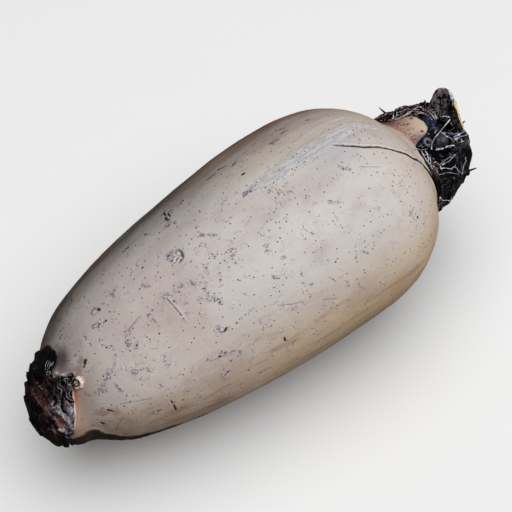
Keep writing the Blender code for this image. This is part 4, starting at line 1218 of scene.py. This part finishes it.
def strawStrip():
    points = [Vector(places(loose["station"], *p)) for p in loose["straw"]]
    bm = bmesh.new()
    previous = None
    for i, p in enumerate(points):
        out = Vector(loose["lean"]).normalized() * loose["width"] / 2
        out *= 1.0 - loose["narrowing"] * (i / (len(points) - 1)) ** 2
        pair = [bm.verts.new(resting @ (p - out)), bm.verts.new(resting @ (p + out))]
        if previous:
            bm.faces.new((previous[0], previous[1], pair[1], pair[0]))
        previous = pair
    bm.normal_update()
    bmesh.ops.solidify(bm, geom=bm.faces[:], thickness=loose["thickness"] * 0.001)
    bmesh.ops.subdivide_edges(bm, edges=bm.edges[:], cuts=2, use_grid_fill=True)
    bmesh.ops.smooth_vert(bm, verts=bm.verts, factor=0.5)
    f = Finish("strawSkin", loose["tones"], Specular_IOR_Level=0.4)
    fine = f.cloud(0.6, 3.0)
    f.colour = f.mix(fine.soft(0.48, 0.68), "straw", "brown")
    f.feed(Roughness=0.5 + 0.2 * (fine - 0.5), Normal=f.bump(fine, 0.1))
    addPiece(bm, "strawStrip", f.material, None)


# Lower cap: a torn, wrinkled sheath over the narrow end
cap = {
    "outline": (
        (-89.4, 3.6), (-87.6, 8.3), (-84.8, 11.5), (-82.0, 14.2), (-78.0, 16.2), (-74.0, 19.3), (-70.0, 22.0),
    ),
    "tip": -89.9,
    "edge": (
        (-180.0, -79.0), (-100.0, -78.0), (-60.0, -76.4), (-40.0, -75.3), (-24.0, -73.9), (-9.0, -73.8),
        (-3.5, -75.2), (-1.2, -77.4), (3.0, -77.5), (9.0, -76.5), (14.0, -75.3), (19.0, -73.9), (29.0, -76.6),
        (48.0, -79.2), (70.0, -82.0), (100.0, -84.4), (140.0, -83.2), (180.0, -79.0),
    ),
    "rings": 160,
    "sides": 300,
    "spacing": 1.1,
    "fray": (0.35, 50.0),
    "wrinkle": 0.45,
    "pitch": 2.6,       # from one ring fold to the next
    "thinEdge": 0.55,
    "stumpPlace": (-74.5, 25.9),       # what the folds of the torn face run round
    "split": ((-79.2, 25.1), (-80.3, 29.1), (-81.2, 34.1), (-81.6, 38.4), (-81.6, 42.6)),
    "hole": ((-81.5, 22.0), (-81.9, 26.1), (-82.8, 27.0)),
    "highlightCurls": (       # thickness, then places
        (0.26, (-78.9, -10.8), (-78.0, -12.9), (-76.9, -12.6)), (0.24, (-78.8, -6.8), (-77.8, -9.5), (-76.6, -9.6)),
        (0.28, (-78.1, -6.2), (-76.9, -6.7), (-75.9, -6.5)), (0.2, (-77.3, -5.1), (-76.3, -5.2)),
        (0.3, (-79.2, -7.3), (-78.4, -4.5), (-78.5, -2.6), (-79.3, -3.6), (-79.4, -6.5)),
        (0.24, (-84.7, 74.0), (-84.4, 78.0), (-83.2, 77.0)),
    ),
    "flecks": (              # place, inner and outer radius, colour
        ((-83.8, 50.6), 0.9, 1.6, "redBrown"), ((-84.4, 53.6), 0.1, 0.7, "red"),
        ((-84.7, 62.5), 0.45, 0.85, "whiteFleck"),
    ),
    "tones": {               # colours as a screen shows them
        "black": (12, 8, 8), "brownBlack": (34, 24, 21), "litRidge": (84, 62, 58), "crease": (128, 108, 112),
        "lobeDark": (7, 6, 7), "lobe": (26, 25, 31), "pink": (122, 88, 82), "redFleck": (146, 62, 50),
        "tornBrown": (84, 64, 64), "lilac": (152, 142, 156), "tornFleck": (200, 192, 202),
        "tornPatch": (118, 84, 72), "tornLine": (24, 17, 17), "tornThread": (220, 214, 224),
        "tornCrease": (30, 20, 18), "tongueFoldShade": (12, 9, 9), "tongueFoldHighlight": (168, 160, 164), "arcShade": (20, 14, 14),
        "redBrown": (136, 84, 72), "red": (160, 64, 60), "whiteFleck": (255, 250, 240), "hole": (9, 6, 6),
        "lip": (206, 188, 188), "fringe": (128, 112, 112),
    },
}
capOutline, capEdge = smoothOutline(cap["outline"]), smoothOutline(cap["edge"])


def capRadius(station, angle):
    wave = math.tau * station / cap["pitch"] + 3.4 * ripple(station, angle, 6.0, 5.0)
    relief = cap["wrinkle"] * np.sin(wave) + 0.6 * ripple(station, angle, 5.0, 2.0)
    fade = np.minimum(1.0, (station - cap["tip"]) / 3.0)
    full = capOutline(np.maximum(station, cap["outline"][0][0])) + fade * relief
    lip = bodyRadius(station) + segment["lip"] - 0.05
    return np.where(station < segment["foot"][0][0], full, np.maximum(full, lip))


def capSurface(station, angle):
    # the torn and wrinkled surface, with the fields that its material reads
    angle = wrap(angle)
    edge = tornEdge(capEdge, angle, *cap["fray"])
    radius = capRadius(station, angle)
    reach = radius * math.pi / 180
    plain = places(station, angle, radius)
    wave = 2.6 * ripple(station, angle, 3.0, 81.0, 2.4)
    fineRings = np.abs(np.sin(math.pi * station / 1.2 + wave + 1.4 * grain(plain, 2.5, 83.0)))
    crumple = np.abs(grain(plain, 2.2, 85.0)) + 0.5 * np.abs(grain(plain, 1.0, 88.0))
    torn = between(angle, 19.0, 6.0, 78.0 + 5 * grain(plain, 3.0, 93.0), 10.0)
    torn *= smoothStep((station + 85.2 + 1.2 * grain(plain, 2.5, 91.0)) / 1.2)
    lobe = smoothStep((station + 81.0) / 2.0) * between(angle, -60.0, 20.0, 4.0, 8.0)
    gap = gapOver(station, angle, radius, cap["stumpPlace"])
    tongue = between(gap, 2.2, 0.6, 6.6 + grain(plain, 1.5, 95.0), 1.0) * between(angle, 4.0, 6.0, 46.0, 8.0)
    arcs = np.sin(math.tau * (gap + 1.1 * grain(plain, 1.8, 97.0)) / 0.85)
    arcs *= 0.6 + 0.4 * smoothStep(0.5 + 2.0 * grain(plain, 1.2, 99.0))
    split, hole = (bell(strokeDistance(station, angle, reach, 1.0, cap[name])[0] / width)
                   for name, width in (("split", 0.4), ("hole", 0.6)))
    wrinkles = (1 - torn) * (1 - tongue) * (1 - 0.75 * lobe) * (0.36 * fineRings - 0.1 - 0.6 * crumple)
    wrinkles += torn * (1 - tongue) * (0.2 - 1.0 * crumple) + tongue * 0.34 * arcs - 0.7 * split - 0.9 * hole
    fade = np.minimum(1.0, (station - cap["tip"]) / 4.0)
    inward = edge - station
    thin = cap["thinEdge"] * (1 - smoothStep(inward / 1.6)) * (1 - tongue)
    thin += 0.7 * between(angle, -110.0, 30.0, -14.0, 14.0) * smoothStep((inward + 2.0) / 2.0)
    radius = radius - thin + fade * wrinkles * smoothStep(inward / 0.8 + 0.3)
    radius += 0.4 * fade * bell((angle + 55.0) / 26.0) * smoothStep(inward / 2.0)
    floor = np.where(station > segment["foot"][0][0], rootRadius(station, angle) + 0.35, 0.0)
    dark = np.maximum(split, hole)
    return np.maximum(radius, floor), wrinkles, torn, tongue, 0.5 + 0.5 * arcs, dark, lobe, crumple


def lowerCap():
    tip, foot = cap["tip"], segment["foot"][0][0]
    bm, points, station, angle, edge, (_, wrinkles, torn, tongue, arcs, dark, lobe, crumple) = sheath(
        cap, capEdge, (tip + 0.2, tip + 0.25), (segment["footEnd"] - 0.25, foot), capSurface)
    piece = pieceFrom(bm, "lowerCap", points, capFinish(), "lower_node")
    litRidge = np.clip(0.5 + 1.3 * wrinkles + 0.15 * np.sin(math.tau * station / cap["pitch"]), 0, 1)
    layer(piece, "folds", litRidge, torn, edge - station)
    layer(piece, "tears", tongue, arcs, dark)
    layer(piece, "surface", lobe, crumple)
    placeLayer(piece, station, angle)

    # pale strands laid on the lobe as painted highlights
    highlightCurls = []
    for width, *spots in cap["highlightCurls"]:
        s, a = through(spots)
        highlightCurls.append((places(s, a, capSurface(s, a)[0] + 0.12), width, 0.5))
    strandPiece("capHighlightCurls", highlightCurls, rootFinish("capHighlightFibre"))


def capFinish():
    f = Finish("driedCap", cap["tones"], Specular_IOR_Level=0.04)
    litRidge, torn, edge = f.layer("folds")
    tongue, arcs, dark = f.layer("tears")
    lobe, crumple, _ = f.layer("surface")
    station, angle = f.places()
    patch = f.cloud(4.0, 3.0)
    threads = f.cloud(0.8, 3.0, f.stretch(1.0, 0.25), twist=0.4)
    dust = f.cloud(0.5, 2.0)
    fine = f.cloud(1.0, 3.0, twist=0.8)
    uneven, speck, ragged = patch - 0.5, dust - 0.5, fine - 0.5

    # black-brown wrinkled skin, its ridges lightened brown as painted highlight, near-black on the smooth lobe beside
    # the seam
    f.colour = f.mix(patch.soft(0.35, 0.7), "black", "brownBlack")
    lowCap = angle.soft(0.25, 0.5)
    f.paint((litRidge + 0.4 * (threads - 0.5)).soft(0.6, 0.95) * (0.55 - 0.35 * lowCap), "litRidge")
    creases = f.squiggles(2.4, 0.028, f.stretch(1.5, 0.5)) * patch.soft(0.42, 0.55) * (1 - lowCap)
    f.paint(creases * 0.6, "crease")
    f.paint(lobe * 0.85, f.mix(dust, "lobeDark", "lobe"))
    pink = (angle + 0.08 * uneven).around(0.03, 0.11, 0.20) * (station + 1.5 * uneven).around(-84.6, 0.8, 2.2)
    f.paint(pink * fine.soft(0.35, 0.6) * 0.75, "pink")
    f.paint(pink * dust.soft(0.64, 0.72) * 0.8, "redFleck")

    # the torn face: lilac, white and brown flecks, with a split, a hole, a red spot and a white fleck
    tornColour = f.mix(fine.soft(0.38, 0.62), "tornBrown", "lilac")
    for share, name in ((f.cloud(0.8, 2.0).soft(0.60, 0.70) * 0.7, "tornFleck"),
                        (patch.soft(0.46, 0.62) * 0.7, "tornPatch"),
                        (f.squiggles(2.0, 0.04) * 0.8, "tornLine"),
                        (f.squiggles(1.7, 0.028, f.stretch(0.8, 1.2)) * 0.6, "tornThread")):
        tornColour = f.mix(share, tornColour, name)
    tornColour = f.mix(crumple.soft(0.0, 0.12), "tornCrease", tornColour)
    f.paint((torn + 0.5 * speck).soft(0.35, 0.65) * 0.92, tornColour)
    # the folds round the broken root: painted highlight on their tops, painted shade between them, and more shade
    # away from the edge
    folds = f.mix((arcs + 0.9 * speck).soft(0.45, 0.95), "tongueFoldShade", "tongueFoldHighlight")
    folds = f.mix((edge + 2 * ragged).soft(0.8, 3.2), folds, f.mix(0.55, folds, "arcShade"))
    f.paint((tongue + 0.5 * speck).soft(0.3, 0.6), folds)
    for place, inner, outer, name in cap["flecks"]:
        f.paint((gapTo(station, angle, place, 12.5) + 0.8 * speck).fall(inner, outer) * 0.85, name)
    # painted shade: near black in the split and the hole
    f.paint((dark + 0.4 * speck).soft(0.35, 0.7) * 0.95, "hole")
    lip = (edge + 1.2 * ragged).fall(0.3, 1.1) * angle.around(0.045, 0.035, 0.06)
    f.paint(lip * 0.85, "lip")
    fringe = edge.fall(0.12, 0.5) * (1 - torn) * fine.soft(0.4, 0.6)
    f.paint(fringe * 0.5, "fringe")
    surface = f.bump(dust, 0.14, f.bump(threads, 0.30))
    return f.feed(Roughness=0.62 + 0.25 * speck - 0.1 * lobe, Normal=surface)


# Broken root beside the cap: a pale ring, thick on the side away from the cap, round an orange-brown core
stump = {
    "station": -73.9,
    "angle": 27.0,
    "radius": 1.85,
    "sides": 96,
    "profile": (       # height in mm, and share of the radius
        (-2.4, 0.0), (-2.4, 1.0), (-0.6, 1.06), (0.2, 1.05), (0.7, 1.0), (1.15, 0.96), (1.4, 0.9), (1.5, 0.8),
        (1.45, 0.66), (1.25, 0.52), (0.9, 0.46), (0.6, 0.42), (0.5, 0.34), (0.75, 0.22), (0.85, 0.0),
    ),
    "thickSide": 0.7,        # turn of the thick side of the ring, in radians from the axis
    "tones": {               # colours as a screen shows them
        "cream": (246, 238, 228), "orange": (232, 120, 72), "dark": (24, 17, 17), "ringShade": (196, 182, 176),
        "ring": (236, 230, 226), "arc": (190, 180, 180), "foot": (176, 138, 124),
    },
}


def stumpRing():
    s, a, r = stump["station"], stump["angle"], stump["radius"]
    slope = float(bodyRadius(s + 0.5) - bodyRadius(s - 0.5))
    out = (Vector(places(0, a, 1.0) - places(0, 0, 0)) - Vector((slope, 0, 0))).normalized()
    ahead = (Vector((1, 0, 0)) - out * out.x).normalized()
    sideways = Vector(places(0, a + 90, 1.0) - places(0, 0, 0))
    surface = Vector(places(s, a, bodyRadius(s)))
    bm = bmesh.new()
    chain = [bm.verts.new((x, 0.0, y)) for x, y in stump["profile"]]
    for pair in zip(chain, chain[1:]):
        bm.edges.new(pair)
    bmesh.ops.subdivide_edges(bm, edges=bm.edges[:], cuts=2)
    bmesh.ops.spin(bm, geom=bm.verts[:] + bm.edges[:], cent=(0, 0, 0), axis=(1, 0, 0), angle=math.tau,
                   steps=stump["sides"], use_merge=True)
    bmesh.ops.remove_doubles(bm, verts=bm.verts, dist=1e-5)
    tall, y, z = np.array([v.co for v in bm.verts]).T
    side = np.cos(np.arctan2(z, y) - stump["thickSide"])
    for v, towards in zip(bm.verts, side):
        rough = noise.noise(v.co * 1.9) * 0.14 + noise.noise(v.co * 5.0) * 0.07
        wide = r * (1 + rough + 0.08 * towards)
        high = v.co.x + (1.1 * rough + 0.18 * towards) * (v.co.x > 0.4)
        v.co = resting @ (surface + out * high + ahead * (v.co.y * wide) + sideways * (v.co.z * wide))
    piece = addPiece(bm, "stumpRing", stumpFinish(), "root_stump")
    layer(piece, "rings", np.hypot(y, z), tall, side)


def stumpFinish():
    f = Finish("brokenRoot", stump["tones"], Specular_IOR_Level=0.35)
    reach, tall, side = f.layer("rings")
    fine = f.cloud(0.6, 3.0)
    ragged = 0.35 * (fine - 0.5)
    edge, turned = reach + ragged, side + 2 * ragged
    core = f.mix(turned.soft(-0.4, 0.2), "cream", "orange")
    f.colour = f.mix(edge.soft(0.42, 0.50), core, "dark")
    f.paint(edge.soft(0.58, 0.66) * turned.soft(-0.55, 0.0), f.mix(fine.soft(0.35, 0.6), "ringShade", "ring"))
    f.paint(edge.around(0.93, 0.02, 0.09) * side.fall(-0.5, 0.1) * 0.85, "arc")
    f.paint((tall + ragged).fall(0.35, 0.75) * side.soft(-0.3, 0.3) * 0.8, "foot")
    return f.feed(Roughness=0.5 + 0.3 * (fine - 0.5), Normal=f.bump(fine, 0.2))


# The photograph's viewing angle, a pale floor and soft lamps
studio = {
    "lens": 70.0,
    "sensor": 36.0,
    "azimuth": -39.41,
    "elevation": 50.0,
    "distance": 0.3239,
    "target": (-0.004866, 0.0, 0.039460),
    "floor": 3.0,
    "world": (0.06, 0.20, 0.95),        # as light from above and from below, and as seen behind the floor
    "lamps": (                          # name, place, size and power in metres and watts, and what it lights
        ("keyLamp", (0.462, -0.869, 1.300), 0.9, 23.0, "part"),
        ("topLamp", (-0.100, -0.274, 1.409), 0.8, 2.3, "part"),
        ("floorLamp", (0.1, -0.3, 1.9), 3.6, 60.0, "floor"),
    ),
    "tones": {"floor": (246, 246, 246), "floorShade": (240, 240, 240)},
}


def aimed(name, data, spot, back):
    # a camera or lamp in the scene that looks against this direction
    holder = bpy.data.objects.new(name, data)
    holder.location = spot
    holder.rotation_mode = "QUATERNION"
    holder.rotation_quaternion = back.to_track_quat("Z", "Y")
    bpy.context.scene.collection.objects.link(holder)
    return holder


def makeStudio():
    scene = bpy.context.scene
    target = Vector(studio["target"])
    azimuth, elevation = math.radians(studio["azimuth"]), math.radians(studio["elevation"])
    level = math.cos(elevation)
    back = Vector((math.sin(azimuth) * level, -math.cos(azimuth) * level, math.sin(elevation)))
    scene.camera = aimed("camera", bpy.data.cameras.new("camera"), target + back * studio["distance"], back)
    scene.camera.data.lens, scene.camera.data.sensor_width = studio["lens"], studio["sensor"]
    scene.camera.data.clip_start = 0.01

    bm = bmesh.new()
    bmesh.ops.create_grid(bm, x_segments=1, y_segments=1, size=studio["floor"])
    mesh = bpy.data.meshes.new("floor")
    bm.to_mesh(mesh)
    bm.free()
    floor = bpy.data.objects.new("floor", mesh)
    floor.visible_diffuse = floor.visible_glossy = False
    f = Finish("paleFloor", studio["tones"], Roughness=0.9, Specular_IOR_Level=0.1)
    f.colour = f.mix(f.cloud(40, 2.0) * 0.1, "floor", "floorShade")
    mesh.materials.append(f.feed())
    scene.collection.objects.link(floor)

    for name, spot, size, power, lights in studio["lamps"]:
        light = bpy.data.lights.new(name, "AREA")
        light.shape, light.size, light.energy = "DISK", size, power
        lamp = aimed(name, light, spot, Vector(spot) - target)
        receivers = bpy.data.collections.new(name + "Receivers")
        receivers.objects.link(floor)
        receivers.collection_objects[0].light_linking.link_state = "INCLUDE" if lights == "floor" else "EXCLUDE"
        lamp.light_linking.receiver_collection = receivers

    world = bpy.data.worlds.new("studio")
    world.use_nodes = True
    sky = Graph(world.node_tree)
    above, below, seen = studio["world"]
    height = sky.node("ShaderNodeSeparateXYZ", None, (sky.node("ShaderNodeTexCoord").part("Object"),)).part(2)
    strength = below + (above - below) * height.soft(-0.3, 0.3)
    strength = strength + (seen - strength) * sky.node("ShaderNodeLightPath")
    background = world.node_tree.nodes["Background"]
    world.node_tree.links.new(strength.out, background.inputs["Strength"])
    background.inputs["Color"].default_value = (1.0, 1.0, 1.0, 1.0)
    scene.world = world
    scene.view_settings.view_transform = "Standard"
    scene.view_settings.look = "None"


for make, words in ((makeStudio, "camera, floor and lamps"), (lotusSkin, "pale skin"), (upperSleeve, "upper sleeve"),
                    (driedRoots, "dried roots"), (bud, "bud"), (stalkHood, "stalk stub"), (strawStrip, "straw strip"),
                    (lowerCap, "lower cap"), (stumpRing, "broken root")):
    make()
    print("made:", words)
